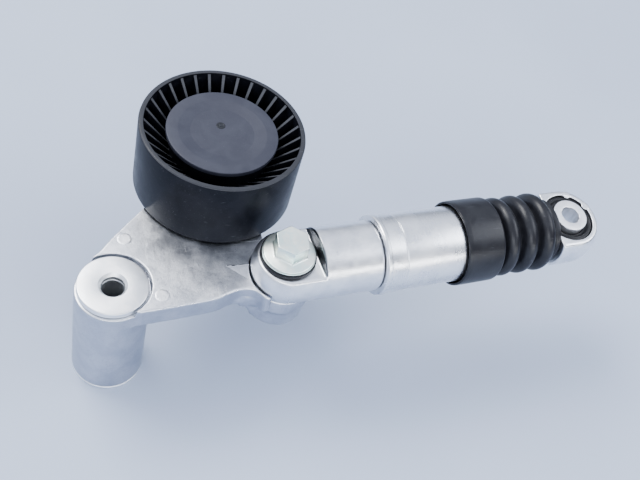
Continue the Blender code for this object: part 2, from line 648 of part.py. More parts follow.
def build_strut_body(parent, along, aluminium, steel, rubber):
    """Everything that stays with the strut's lower eye. Turned pieces use the rotation along."""
    backwards = (0, -math.pi / 2, 0)
    eye = turned_solid("strut_housing", capsule_profile(HOUSING_R, HOUSING_DOME_REACH, -HOUSING_END_U),
                       aluminium, parent, rotation=backwards)
    reach = HOUSING_R + OVERLAP
    cut_flats(eye, reach, EYE_HALF_HEIGHT, -reach, HOUSING_SHOULDER_U, parent)
    add_disc(eye, "UNION", SPIGOT_R, HOUSING_END_U - OVERLAP, SPIGOT_END_U, parent,
             rotation=along, segments=SMALL_ROUND)
    add_disc(eye, "DIFFERENCE", OIL_BORE_R, OIL_BORE_FLOOR_U, SPIGOT_END_U + OVERLAP, parent,
             rotation=along, segments=SMALL_ROUND)
    add_disc(eye, "DIFFERENCE", LOWER_BUSH_R + FIT_GAP, -reach, reach, parent,
             segments=SMALL_ROUND)
    lip = EYE_HALF_HEIGHT + FACE_GAP
    bore = LOWER_SLEEVE_R + FIT_GAP
    turned_ring("strut_lower_bush",
                [(bore, -EYE_HALF_HEIGHT), (LOWER_BUSH_R, -EYE_HALF_HEIGHT), (LOWER_BUSH_R, lip),
                 (LOWER_LIP_R, lip), (LOWER_LIP_R, lip + LOWER_LIP_THICKNESS),
                 (bore, lip + LOWER_LIP_THICKNESS)], rubber, parent, SMALL_ROUND)
    start = HOUSING_END_U + FIT_GAP
    turned_ring("strut_tube",
                [(TUBE_INNER_R, start), (COLLAR_R, start), (COLLAR_R, COLLAR_END_U),
                 (TUBE_R, COLLAR_END_U + CHAMFER), (TUBE_R, TUBE_END_U), (TUBE_INNER_R, TUBE_END_U)],
                aluminium, parent, rotation=along)
    turned_ring("pressure_cylinder",
                tube_profile(CYLINDER_BORE_R, CYLINDER_R, OIL_BORE_FLOOR_U + FIT_GAP,
                             CYLINDER_END_U), steel, parent, SMALL_ROUND, rotation=along)
    seat_low = SPIGOT_END_U + FIT_GAP
    turned_ring("spring_seat_lower",
                tube_profile(CYLINDER_R + FIT_GAP, LOWER_SEAT_R, seat_low,
                             seat_low + LOWER_SEAT_THICKNESS), steel, parent, SMALL_ROUND,
                rotation=along)


def build_check_valve(parent, along, steel):
    """Seat, ball, spring and retainer at the foot of the pressure cylinder."""
    seat_low = OIL_BORE_FLOOR_U + 2 * FIT_GAP
    seat_high = seat_low + VALVE_SEAT_THICKNESS
    turned_ring("valve_seat",
                tube_profile(VALVE_SEAT_BORE_R, CYLINDER_BORE_R - FIT_GAP, seat_low, seat_high),
                steel, parent, TINY_ROUND, rotation=along)
    ball = bmesh.new()
    bmesh.ops.create_icosphere(ball, subdivisions=2, radius=VALVE_BALL_R)
    bmesh.ops.translate(ball, vec=(0, 0, seat_high + VALVE_BALL_R), verts=ball.verts)
    add_object("valve_ball", ball, steel, parent, rotation=along)
    roof_low = seat_high + RETAINER_HEIGHT - RETAINER_WALL
    spring_high = roof_low - FIT_GAP - VALVE_WIRE_R
    coil = helix_bmesh(VALVE_SPRING_R, VALVE_WIRE_R, spring_high - VALVE_SPRING_LENGTH,
                       spring_high, 3, 8, 5)
    add_object("valve_spring", coil, steel, parent, rotation=along)
    wall_r = RETAINER_R - RETAINER_WALL
    roof_high = seat_high + RETAINER_HEIGHT
    turned_ring("valve_retainer",
                [(wall_r, seat_high + FIT_GAP), (RETAINER_R, seat_high + FIT_GAP),
                 (RETAINER_R, roof_high), (RETAINER_HOLE_R, roof_high),
                 (RETAINER_HOLE_R, roof_low), (wall_r, roof_low)],
                steel, parent, TINY_ROUND, rotation=along)


def build_rod_guide(parent, along, steel, rubber):
    inner = ROD_R + FIT_GAP
    body_r = CYLINDER_BORE_R - FIT_GAP
    body_low = CYLINDER_END_U - GUIDE_DEPTH
    flange_low = CYLINDER_END_U + FIT_GAP
    flange_high = flange_low + GUIDE_FLANGE
    turned_ring("rod_guide",
                [(inner, body_low), (body_r, body_low), (body_r, flange_low),
                 (CYLINDER_R, flange_low), (CYLINDER_R, flange_high), (inner, flange_high)],
                steel, parent, SMALL_ROUND, rotation=along)
    seal_low = flange_high + FIT_GAP
    turned_ring("rod_seal",
                tube_profile(inner, CYLINDER_R - CHAMFER, seal_low,
                             seal_low + ROD_SEAL_THICKNESS), rubber, parent, SMALL_ROUND,
                rotation=along)


def bellows_outline():
    """Outer surface of the rubber bellows as (radius, distance): cuff, round crests, end collar."""
    points = [(CUFF_R - CUFF_CHAMFER, CUFF_START_U), (CUFF_R, CUFF_START_U + CUFF_CHAMFER),
              (CUFF_R, CUFF_END_U - CUFF_CHAMFER), (CUFF_R - CUFF_CHAMFER, CUFF_END_U)]
    depth = BELLOWS_CREST_R - BELLOWS_GROOVE_R
    half_width = (BELLOWS_PITCH - GROOVE_FLAT) / 2
    for crest in range(BELLOWS_CRESTS):
        middle = BELLOWS_FIRST_CREST_U + crest * BELLOWS_PITCH
        for step in (-90, -30, 30, 90):
            angle = math.radians(step)
            rise = math.cos(angle)
            points.append((BELLOWS_GROOVE_R + depth * rise, middle + half_width * math.sin(angle)))
    points[-1] = (BELLOWS_COLLAR_R, points[-1][1])
    points.append((BELLOWS_COLLAR_R, BELLOWS_END_U))
    return points


def build_bellows(parent, along, rubber):
    """The bellows' wall: its cuff grips the tube, its end collar the eye's neck."""
    outer = bellows_outline()
    tube_fit = TUBE_R + FIT_GAP
    neck_fit = NECK_R + FIT_GAP
    folds = outer[4:-2]
    collar_start = outer[-2][1]
    inner = [(tube_fit, CUFF_START_U), (tube_fit, CUFF_END_U - BELLOWS_WALL)]
    inner += [(radius - BELLOWS_WALL, distance) for radius, distance in folds]
    inner += [(neck_fit, collar_start), (neck_fit, BELLOWS_END_U)]
    turned_ring("bellows", outer + list(reversed(inner)), rubber, parent, BELLOWS_ROUND,
                rotation=along)


def build_plunger(parent, along, steel):
    piston_r = CYLINDER_BORE_R - FIT_GAP
    piston_end = PISTON_U + PISTON_LENGTH
    turned_solid("plunger_rod",
                 [(0, PISTON_U), (piston_r - CHAMFER, PISTON_U), (piston_r, PISTON_U + CHAMFER),
                  (piston_r, piston_end), (ROD_R, piston_end), (ROD_R, ROD_END_U),
                  (0, ROD_END_U)], steel, parent, SMALL_ROUND, rotation=along)
    turned_ring("spring_seat_upper",
                tube_profile(ROD_R + FIT_GAP, UPPER_SEAT_R, SEAT_UPPER_U,
                             SEAT_UPPER_U + SEAT_THICKNESS), steel, parent, SMALL_ROUND,
                rotation=along)


def build_main_spring(parent, along, steel):
    seat_top = SPIGOT_END_U + FIT_GAP + LOWER_SEAT_THICKNESS
    low = seat_top + FIT_GAP + SPRING_WIRE_R
    high = SEAT_UPPER_U - FIT_GAP - SPRING_WIRE_R
    add_object("main_spring", helix_bmesh(SPRING_MEAN_R, SPRING_WIRE_R, low, high, SPRING_TURNS,
                                          10, 5), steel, parent, rotation=along)


def build_upper_eye(parent, along, aluminium, rubber):
    """The rod-end eye. Its parent sits at the eye's centre, with Z along the eye's bore."""
    block_start = BELLOWS_END_U + FIT_GAP - UPPER_EYE_U
    eye = turned_solid("upper_eye", capsule_profile(UPPER_EYE_R, UPPER_EYE_R, block_start), aluminium, parent,
                       rotation=along)
    reach = UPPER_EYE_R + OVERLAP
    cut_flats(eye, reach, UPPER_EYE_HALF_HEIGHT, block_start - OVERLAP, reach, parent)
    neck_start = SEAT_UPPER_U + SEAT_THICKNESS + FIT_GAP - UPPER_EYE_U
    socket_end = ROD_END_U + FIT_GAP - UPPER_EYE_U
    add_disc(eye, "UNION", NECK_R, neck_start, block_start + OVERLAP, parent, rotation=along,
             segments=SMALL_ROUND)
    add_disc(eye, "DIFFERENCE", ROD_R + FIT_GAP, neck_start - OVERLAP, socket_end, parent,
             rotation=along, segments=SMALL_ROUND)
    add_disc(eye, "DIFFERENCE", UPPER_RUBBER_R + FIT_GAP, -reach, reach, parent)
    half = UPPER_EYE_HALF_HEIGHT - FIT_GAP
    turned_ring("upper_eye_rubber",
                tube_profile(UPPER_SLEEVE_R + FIT_GAP, UPPER_RUBBER_R, -half, half, CHAMFER),
                rubber, parent)


def build_upper_sleeve(parent, steel):
    half = UPPER_SLEEVE_HALF_LENGTH
    turned_ring("upper_eye_sleeve",
                tube_profile(UPPER_SLEEVE_BORE_R, UPPER_SLEEVE_R, -half, half, CHAMFER), steel,
                parent, SMALL_ROUND)


def main():
    clear_scene()
    cast = make_material("cast_aluminium", (0.55, 0.56, 0.58), 0.5, 0.9)
    machined = make_material("machined_aluminium", (0.72, 0.73, 0.75), 0.3, 1.0)
    bright = make_material("bright_steel", (0.8, 0.8, 0.82), 0.25, 1.0)
    zinc = make_material("zinc_plated_steel", (0.72, 0.76, 0.7), 0.3, 1.0)
    bearing = make_material("bearing_steel", (0.6, 0.61, 0.63), 0.2, 1.0)
    spring = make_material("spring_steel", (0.18, 0.19, 0.22), 0.4, 1.0)
    bronze = make_material("bronze", (0.55, 0.38, 0.18), 0.45, 1.0)
    rubber = make_material("black_rubber", (0.02, 0.02, 0.022), 0.6, 0.0)
    pulley = make_material("pulley_plastic", (0.015, 0.016, 0.02), 0.35, 0.0)
    cap = make_material("cap_plastic", (0.05, 0.055, 0.065), 0.5, 0.0)
    nylon = make_material("cage_nylon", (0.75, 0.72, 0.62), 0.5, 0.0)

    along = (0, math.pi / 2, 0)
    direction = Vector((math.cos(STRUT_HEADING), math.sin(STRUT_HEADING), 0))
    root_axis = make_axis("engine_axis")
    arm_axis = make_axis("arm_axis")
    pulley_place = (PULLEY_X, PULLEY_Y, 0)
    pulley_fixed_axis = make_axis("pulley_fixed_axis", pulley_place)
    pulley_axis = make_axis("pulley_axis", pulley_place)
    cage_axis = make_axis("cage_axis", pulley_place)
    strut_place = Vector((STRUT_BOLT_X, 0, STRUT_AXIS_Z))
    strut_axis = make_axis("strut_axis", strut_place, (0, 0, STRUT_HEADING))
    rod_axis = make_axis("rod_axis", strut_place, (0, 0, STRUT_HEADING))
    eye_turn = (Matrix.Rotation(STRUT_HEADING, 3, "Z") @ Matrix.Rotation(UPPER_EYE_TURN, 3, "X"))
    eye_place = strut_place + direction * UPPER_EYE_U
    eye_axis = make_axis("eye_axis", eye_place, eye_turn.to_euler())

    build_pivot(root_axis, bright)
    build_pivot_bearings(arm_axis, bronze, rubber)
    build_arm_casting(arm_axis, cast)
    build_pulley(pulley_axis, pulley)
    build_dust_cap(pulley_axis, cap)
    build_bearing(pulley_axis, pulley_fixed_axis, cage_axis, bearing, rubber, nylon)
    build_pulley_mounting(pulley_fixed_axis, bearing, zinc)
    build_strut_mounting(arm_axis, bearing, zinc)
    build_strut_body(strut_axis, along, machined, bearing, rubber)
    build_check_valve(strut_axis, along, bearing)
    build_rod_guide(strut_axis, along, bearing, rubber)
    build_bellows(strut_axis, along, rubber)
    build_plunger(rod_axis, along, bearing)
    build_main_spring(rod_axis, along, spring)
    build_upper_eye(eye_axis, along, machined, rubber)
    build_upper_sleeve(eye_axis, bright)


main()
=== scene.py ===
"""Hydraulic belt tensioner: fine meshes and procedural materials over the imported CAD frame.

Shapes are drawn in millimetres. Arm and pulley pieces use the row frame's heights. Strut pieces use
the distance u along the strut from its lower bolt axis. Turned pieces are drawn about their own Z.
"""
import json
import math

import bmesh
import bpy
import numpy as np
from mathutils import Matrix, Vector


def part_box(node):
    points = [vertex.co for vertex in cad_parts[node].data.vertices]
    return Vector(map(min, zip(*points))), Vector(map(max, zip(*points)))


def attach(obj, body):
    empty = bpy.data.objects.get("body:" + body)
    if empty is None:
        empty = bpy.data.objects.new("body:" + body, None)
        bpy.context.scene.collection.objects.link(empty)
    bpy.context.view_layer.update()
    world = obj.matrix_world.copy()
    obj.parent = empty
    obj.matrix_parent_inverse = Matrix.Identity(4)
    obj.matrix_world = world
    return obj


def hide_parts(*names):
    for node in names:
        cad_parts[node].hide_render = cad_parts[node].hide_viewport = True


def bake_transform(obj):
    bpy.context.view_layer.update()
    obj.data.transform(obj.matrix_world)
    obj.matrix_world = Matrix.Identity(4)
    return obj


MM = 0.001

# arm, in the row frame
PIVOT_BORE_R = 4.6
PIVOT_SLEEVE_R = 8.0
COUNTERSINK_R = 5.9
PIVOT_SLEEVE_TOP = 53.9
BARREL_R = 15.15
BARREL_LOW = 1.5
BARREL_TOP = 53.9
BARREL_BORE_R = 10.9
SEAL_POCKET_R = 12.6
SEAL_POCKET_DEPTH = 3.0
SPOT_FACE_R = 15.35
PLATE_TOP = 57.2
PLATE_LOW = 47.0
SEAT_TOP = 51.3
SEAT_LOW = 45.5
SEAT_R = 12.5
EYE_CLEARANCE_R = 15.8
EYE_CLEARANCE_SHIFT = 1.1
STRUT_BOSS_R = 12.4
STRUT_BOSS_LOW = 33.0
GUSSET_TOP_X = 51.0
GUSSET_HALF_WIDTH = 6.5
WEDGE_TIP_X = 46.2
WEDGE_TIP_Y = 5.0
WEDGE_SLOPE_X = 0.134
WEDGE_SLOPE_Y = 0.149
WEDGE_WALL_SLOPE = 2.2
PULLEY_BOSS_R = 13.0
PULLEY_BOSS_LOW = 42.0
PIN_MARK_R = 3.0
PIN_MARK_HEIGHT = 0.1
PIN_MARKS = ((7.1, 22.2), (18.4, -7.2))
PULLEY_BOLT_HOLE_R = 5.3

# strut bolt
STRUT_BOLT_HOLE_R = 4.3
BOLT_SHANK_R = 4.0
BOLT_ACROSS_FLATS = 13.0
BOLT_FLANGE_HEIGHT = 1.75
BOLT_HEAD_TURN = 0.4

# pulley, about its own axis
PULLEY_R = 35.0
PULLEY_LOW = 58.5
PULLEY_HIGH = 92.2
RIM_INNER_R = 32.84
HUB_OUTER_R = 21.7
HUB_SEAT_R = 20.3
HUB_LIP_R = 18.0
HUB_LOW = 66.35
HUB_HIGH = 87.3
BEARING_SEAT = 69.05
WEB_LOW = 73.6
WEB_HIGH = 77.1
RIB_COUNT = 32
RIB_THICKNESS = 1.25
RIB_DROP_AT_RIM = 0.5
RIB_DROP_AT_HUB = 12.6
CAP_R = 23.7
CAP_TOP = 89.7
CAP_LOW = 87.6
CAP_DISH_R = 18.7
CAP_DISH_FLOOR_R = 13.5
CAP_DISH_DEPTH = 0.6
CAP_SKIRT_R = 20.0
CAP_SKIRT_DROP = 4.0
GATE_OFFSET = 3.9

# strut, along u
HOUSING_R = 15.4
HOUSING_DOME_REACH = 14.2
EYE_HALF_HEIGHT = 7.4
SHOULDER_U = 12.8
HOUSING_END_U = 39.5
SPIGOT_R = 14.6
SPIGOT_END_U = 50.0
OIL_BORE_R = 10.5
OIL_BORE_FLOOR_U = 19.0
LOWER_BUSH_R = 9.3
LOWER_BUSH_BORE_R = 6.8
TUBE_START_U = 39.8
COLLAR_R = 17.8
COLLAR_END_U = 49.5
TUBE_R = 17.1
TUBE_INNER_R = 14.9
TUBE_END_U = 92.0
CUFF_START_U = 78.6
CUFF_END_U = 98.2
CUFF_R = 19.2
CUFF_BORE_R = 17.45
CUFF_MOUTH_R = 18.1
CUFF_MOUTH_LENGTH = 4.5
CREST_R = 18.1
GROOVE_R = 13.7
GROOVE_HALF_WIDTH = 0.9
FIRST_CREST_U = 103.6
CREST_PITCH = 9.5
CREST_COUNT = 3
BELLOWS_COLLAR_R = 14.6
BELLOWS_END_U = 130.2
BELLOWS_WALL = 1.4
EYE_NECK_R = 11.0
SPRING_MEAN_R = 10.0
SPRING_WIRE_R = 1.35
SPRING_TURNS = 6
SPRING_START_U = 53.45
SPRING_END_U = 119.95

# upper eye, about its own centre
UPPER_EYE_R = 17.1
UPPER_EYE_HALF_HEIGHT = 8.9
UPPER_EYE_START = -9.7
UPPER_NECK_START = -16.1
ROD_SOCKET_R = 5.3
ROD_SOCKET_END = -12.2
UPPER_RUBBER_R = 12.1
UPPER_SLEEVE_R = 8.25
UPPER_SLEEVE_BORE_R = 4.44
UPPER_SLEEVE_HALF_LENGTH = 10.9
STAKES_DEG = (68, 22)
STAKE_CIRCLE_R = 13.1
STAKE_R = 1.9
STAKE_HEIGHT = 8.45
STAKE_HALF_THICKNESS = 0.35


# ---- places

def turned_place(origin, axis, sideways):
    """Matrix with Z along axis and X as near sideways as it can be."""
    up = Vector(axis).normalized()
    across = up.cross(Vector(sideways)).normalized()
    matrix = Matrix((across.cross(up), across, up)).transposed().to_4x4()
    matrix.translation = origin
    return matrix


# ---- meshes

def add_object(name, data, place):
    item = bpy.data.objects.new(name, data)
    bpy.context.scene.collection.objects.link(item)
    item.matrix_world = place
    return item


def new_piece(name, vertices, faces, place):
    """A mesh object from points in millimetres, smooth except at sharp angles."""
    mesh = bpy.data.meshes.new(name)
    mesh.from_pydata((np.asarray(vertices, float) * MM).tolist(), [], faces)
    mesh.shade_smooth()
    mesh.set_sharp_from_angle(angle=math.radians(38))
    return add_object(name, mesh, place)


def dress(piece, body, slot, *nodes, look=None):
    """Give a piece its material, and let it ride on its body in place of its CAD nodes."""
    piece.data.materials.append(looks[look or slot])
    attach(piece, body)
    if nodes:
        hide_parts(*nodes)


def bridge(piece, slot, node):
    """Give a soft piece its material and bake its place into its mesh, in place of its CAD node."""
    piece.data.materials.append(looks[slot])
    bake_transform(piece)
    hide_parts(node)


def rounded(corners, steps=5):
    """Closed section from (radius, height, fillet) corners, counter-clockwise, fillets as arcs."""
    points = []
    count = len(corners)
    for k, (radius, height, fillet) in enumerate(corners):
        here = Vector((radius, height))
        if fillet == 0:
            points.append((radius, height))
            continue
        before = Vector(corners[k - 1][:2]) - here
        after = Vector(corners[(k + 1) % count][:2]) - here
        half = before.angle(after) / 2
        reach = min(fillet / math.tan(half), 0.49 * before.length, 0.49 * after.length)
        middle = (before.normalized() + after.normalized()).normalized()
        center = here + middle * (reach / math.cos(half))
        start = here + before.normalized() * reach - center
        turn = start.angle_signed(here + after.normalized() * reach - center)
        for step in range(steps + 1):
            angle = -turn * step / steps
            x = start.x * math.cos(angle) - start.y * math.sin(angle)
            y = start.x * math.sin(angle) + start.y * math.cos(angle)
            points.append((max(center.x + x, 0.0), center.y + y))
    return points


def turned(name, section, place, segments=160, radius_factor=None):
    """Revolve a closed section about Z. radius_factor(angle, radius) may vary it round the turn."""
    area = sum(a[0] * b[1] - b[0] * a[1] for a, b in zip(section, section[1:] + section[:1]))
    if area < 0:
        section = section[::-1]
    vertices = []
    rings = []
    for radius, height in section:
        if radius < 1e-6:
            rings.append([len(vertices)] * segments)
            vertices.append((0, 0, height))
            continue
        rings.append(list(range(len(vertices), len(vertices) + segments)))
        for k in range(segments):
            angle = 2 * math.pi * k / segments
            reach = radius * (radius_factor(angle, radius) if radius_factor else 1.0)
            vertices.append((reach * math.cos(angle), reach * math.sin(angle), height))
    faces = []
    for lower, upper in zip(rings, rings[1:] + rings[:1]):
        if lower[0] == lower[-1] and upper[0] == upper[-1]:
            continue
        for k in range(segments):
            after = (k + 1) % segments
            faces.append(tuple(dict.fromkeys((lower[k], lower[after], upper[after], upper[k]))))
    return new_piece(name, vertices, faces, place)


# ---- distance functions, in mm

def join(a, b, blend):
    """Union of two solids with a fillet in the corner between them."""
    mix = np.clip(0.5 + 0.5 * (b - a) / blend, 0, 1)
    return b + (a - b) * mix - blend * mix * (1 - mix)


def overlap(a, b, blend):
    """What two solids share, with the edge between them rounded."""
    return -join(-a, -b, blend)


def cut(a, b, blend=0.3):
    """The first solid without the second, with the edge rounded."""
    return overlap(a, -b, blend)


def bar(x, y, along, radius, low, high, edge=0.6):
    """Round bar centred on the axis x = y = 0."""
    return overlap(np.hypot(x, y) - radius, np.abs(along - (low + high) / 2) - (high - low) / 2,
                   edge)


def outline_distance(x, y, points):
    """Signed distance in the plane to a closed outline, negative inside."""
    nearest = np.full(np.broadcast(x, y).shape, np.inf)
    outside = np.ones(nearest.shape)
    for (ax, ay), (bx, by) in zip(points, points[1:] + points[:1]):
        run, rise = bx - ax, by - ay
        share = np.clip(((x - ax) * run + (y - ay) * rise) / (run ** 2 + rise ** 2), 0, 1)
        gap = (x - ax - run * share) ** 2 + (y - ay - rise * share) ** 2
        nearest = np.minimum(nearest, gap)
        if rise != 0:
            spans = (y >= min(ay, by)) & (y < max(ay, by))
            left = x < ax + (y - ay) * run / rise
            outside = np.where(spans & left, -outside, outside)
    return outside * np.sqrt(nearest)


def soften(points, rounds):
    """Cut the corners of a closed outline again and again, until it is a smooth curve."""
    for _ in range(rounds):
        cut_points = []
        for (ax, ay), (bx, by) in zip(points, points[1:] + points[:1]):
            cut_points.append((0.75 * ax + 0.25 * bx, 0.75 * ay + 0.25 * by))
            cut_points.append((0.25 * ax + 0.75 * bx, 0.25 * ay + 0.75 * by))
        points = cut_points
    return points


def arc(center_x, center_y, radius, start_deg, end_deg, steps):
    angles = np.radians(np.linspace(start_deg, end_deg, steps + 1))
    return [(center_x + radius * math.cos(a), center_y + radius * math.sin(a)) for a in angles]


def slopes(distance, points, step):
    """Gradient of a distance function at some points, by central differences."""
    gradient = np.empty(points.shape)
    for axis, shift in enumerate(step * np.eye(3)):
        rise = distance(*(points + shift).T) - distance(*(points - shift).T)
        gradient[:, axis] = rise / (2 * step)
    return gradient


def stretch(axis, start, stop):
    """Index of the part of a grid between two places along one axis."""
    index = [slice(None)] * 3
    index[axis] = slice(start, stop)
    return tuple(index)


def surface_net(distance, low, high, cell):
    """Vertices and outward quads near the zero surface of a distance function, on a grid."""
    counts = [math.ceil((b - a) / cell) + 1 for a, b in zip(low, high)]
    axes = [a + cell * np.arange(n) for a, n in zip(low, counts)]
    grid = np.meshgrid(*axes, indexing="ij", sparse=True)
    value = np.broadcast_to(distance(*grid), counts)
    inside = value < 0
    cells = [n - 1 for n in counts]
    place = np.zeros(cells + [3])
    hits = np.zeros(cells)
    edges = []
    for axis in range(3):
        second, third = (axis + 1) % 3, (axis + 2) % 3
        behind, ahead = stretch(axis, None, -1), stretch(axis, 1, None)
        start, end = value[behind], value[ahead]
        crossing = inside[behind] != inside[ahead]
        share = np.where(crossing, start / np.where(crossing, start - end, 1), 0)
        for b in (0, 1):
            for c in (0, 1):
                rows = stretch(second, b, b + cells[second])
                columns = stretch(third, c, c + cells[third])
                hit = crossing[rows][columns]
                hits += hit
                place[..., axis] += share[rows][columns]
                place[..., second] += hit * b
                place[..., third] += hit * c
        edges.append((second, third, crossing, inside[behind]))
    active = hits > 0
    number = np.full(cells, -1)
    number[active] = np.arange(active.sum())
    corner = np.argwhere(active)
    vertices = np.array(low) + cell * (corner + place[active] / hits[active][:, None])
    quads = []
    for second, third, crossing, starts_inside in edges:
        found = np.argwhere(crossing)
        keep = ((found[:, second] > 0) & (found[:, third] > 0)
                & (found[:, second] < cells[second]) & (found[:, third] < cells[third]))
        found = found[keep]
        ring = []
        for b, c in ((1, 1), (0, 1), (0, 0), (1, 0)):
            around = found.copy()
            around[:, second] -= b
            around[:, third] -= c
            ring.append(number[tuple(around.T)])
        ring = np.stack(ring, 1)
        flip = ~starts_inside[tuple(found.T)]
        ring[flip] = ring[flip][:, ::-1]
        quads.append(ring)
    return vertices, np.concatenate(quads)


def neighbour_mean(vertices, quads):
    """Mean of each vertex's neighbours along the quads' edges."""
    total = np.zeros(vertices.shape)
    count = np.zeros(len(vertices))
    for shift in (1, -1):
        other = np.roll(quads, shift, 1)
        np.add.at(total, quads.ravel(), vertices[other.ravel()])
        np.add.at(count, quads.ravel(), 1)
    return total / count[:, None]


def sculpted(name, distance, low, high, place, cell):
    """A piece from a distance function: a net pulled onto the exact surface, with exact normals.
    Its attribute for edge wear and painted highlight is near 1 on convex edges and 0 on flat
    stretches."""
    vertices, quads = surface_net(distance, low, high, cell)
    step = cell / 8
    for turn in range(4):
        if turn in (1, 2):
            vertices = 0.5 * (vertices + neighbour_mean(vertices, quads))
        gradient = slopes(distance, vertices, step)
        size = np.maximum((gradient ** 2).sum(1), 0.25)
        move = gradient * (distance(*vertices.T) / size)[:, None]
        vertices = vertices - np.clip(move, -cell, cell)
    normals = slopes(distance, vertices, step)
    normals /= np.maximum(np.linalg.norm(normals, axis=1), 1e-9)[:, None]
    proud = ((vertices - neighbour_mean(vertices, quads)) * normals).sum(1) / cell
    piece = new_piece(name, vertices, quads.tolist(), place)
    piece.data.shade_smooth()
    piece.data.normals_split_custom_set_from_vertices(normals.tolist())
    # convex edges get the value that materials use for edge wear and a painted highlight
    wear_and_highlight = piece.data.attributes.new("edge_wear_and_highlight", "FLOAT", "POINT")
    wear_and_highlight.data.foreach_set("value", np.clip(proud * 6, 0, 1).astype(np.float32))
    return piece


# ---- materials

class Look:
    """Node material around one Principled BSDF, with object coordinates in millimetres."""

    def __init__(self, name, **sockets):
        self.material = bpy.data.materials.new(name)
        self.material.use_nodes = True
        self.tree = self.material.node_tree
        self.shader = self.tree.nodes["Principled BSDF"]
        for socket, value in sockets.items():
            self.shader.inputs[socket.replace("_", " ")].default_value = value
        coordinates = self.add("ShaderNodeTexCoord")
        self.mm = self.math3("SCALE", coordinates.outputs["Object"], scale=1 / MM)

    def add(self, kind, inputs=None, **settings):
        """A new node, with values or sockets for some of its inputs, by name or number."""
        node = self.tree.nodes.new(kind)
        for key, value in settings.items():
            setattr(node, key, value)
        for key, value in (inputs or {}).items():
            self.feed(node.inputs[key], value)
        return node

    def feed(self, socket, value):
        if isinstance(value, bpy.types.NodeSocket):
            self.tree.links.new(value, socket)
        else:
            socket.default_value = value

    def math(self, operation, a, b=0.0, c=0.0):
        return self.add("ShaderNodeMath", {0: a, 1: b, 2: c}, operation=operation).outputs[0]

    def math3(self, operation, a, b=(0, 0, 0), scale=1.0):
        node = self.add("ShaderNodeVectorMath", {0: a, 1: b, 3: scale}, operation=operation)
        return node.outputs["Value" if operation == "LENGTH" else "Vector"]

    def noise(self, per_mm, detail=4.0, rough=0.55, vector=None, distortion=0.0):
        return self.add("ShaderNodeTexNoise", {
            "Vector": vector or self.mm, "Scale": per_mm, "Detail": detail, "Roughness": rough,
            "Distortion": distortion}).outputs[0]

    def spread(self, value, low, high, to_low=0.0, to_high=1.0):
        """Remap a value smoothly and clamp it."""
        inputs = dict(enumerate((value, low, high, to_low, to_high)))
        return self.add("ShaderNodeMapRange", inputs, interpolation_type="SMOOTHSTEP").outputs[0]

    def tint(self, share, first, second):
        first, second = [(*color, 1.0) if isinstance(color, tuple) else color
                         for color in (first, second)]
        return self.add("ShaderNodeMix", {0: share, 6: first, 7: second},
                        data_type="RGBA").outputs[2]

    def over(self, color, share, strength, cover):
        """Lay a cover colour over a colour, as strongly as share times strength."""
        return self.tint(self.math("MULTIPLY", share, strength), color, cover)

    def plus(self, value, extra, factor):
        """value + extra * factor"""
        return self.math("ADD", value, self.math("MULTIPLY", extra, factor))

    def parts(self, vector):
        """The X, Y and Z of a vector."""
        return self.add("ShaderNodeSeparateXYZ", {0: vector}).outputs

    def heading(self):
        """The X, Y and Z of the surface's normal."""
        return self.parts(self.add("ShaderNodeNewGeometry").outputs["True Normal"])

    def stretched(self, factors, turn=(0, 0, 0)):
        """Coordinates squeezed along some axes, for streaks and scratches."""
        return self.add("ShaderNodeMapping", {"Vector": self.mm, "Rotation": turn,
                                              "Scale": factors}).outputs[0]

    def turned(self):
        """Coordinates that repeat round the piece's own Z axis, for marks left by a lathe."""
        x, y, z = self.parts(self.mm)
        square = self.math("ADD", self.math("POWER", x, 2.0), self.math("POWER", y, 2.0))
        inputs = {0: self.math("SQRT", square), 1: self.math("MULTIPLY", x, 0.02), 2: z}
        return self.add("ShaderNodeCombineXYZ", inputs).outputs[0]

    def wear_and_highlight(self):
        """The sculpted piece's convex-edge attribute, for edge wear and a painted highlight."""
        return self.add("ShaderNodeAttribute", attribute_name="edge_wear_and_highlight").outputs["Fac"]

    def finish(self, color, roughness, *reliefs):
        """Wire colour, roughness and (height, distance in mm) reliefs, and return the material."""
        self.feed(self.shader.inputs["Base Color"], color)
        self.feed(self.shader.inputs["Roughness"], roughness)
        normal = None
        for height, distance in reliefs:
            inputs = {"Distance": distance * MM, "Height": height}
            if normal:
                inputs["Normal"] = normal
            normal = self.add("ShaderNodeBump", inputs).outputs[0]
        if normal:
            self.feed(self.shader.inputs["Normal"], normal)
        return self.material


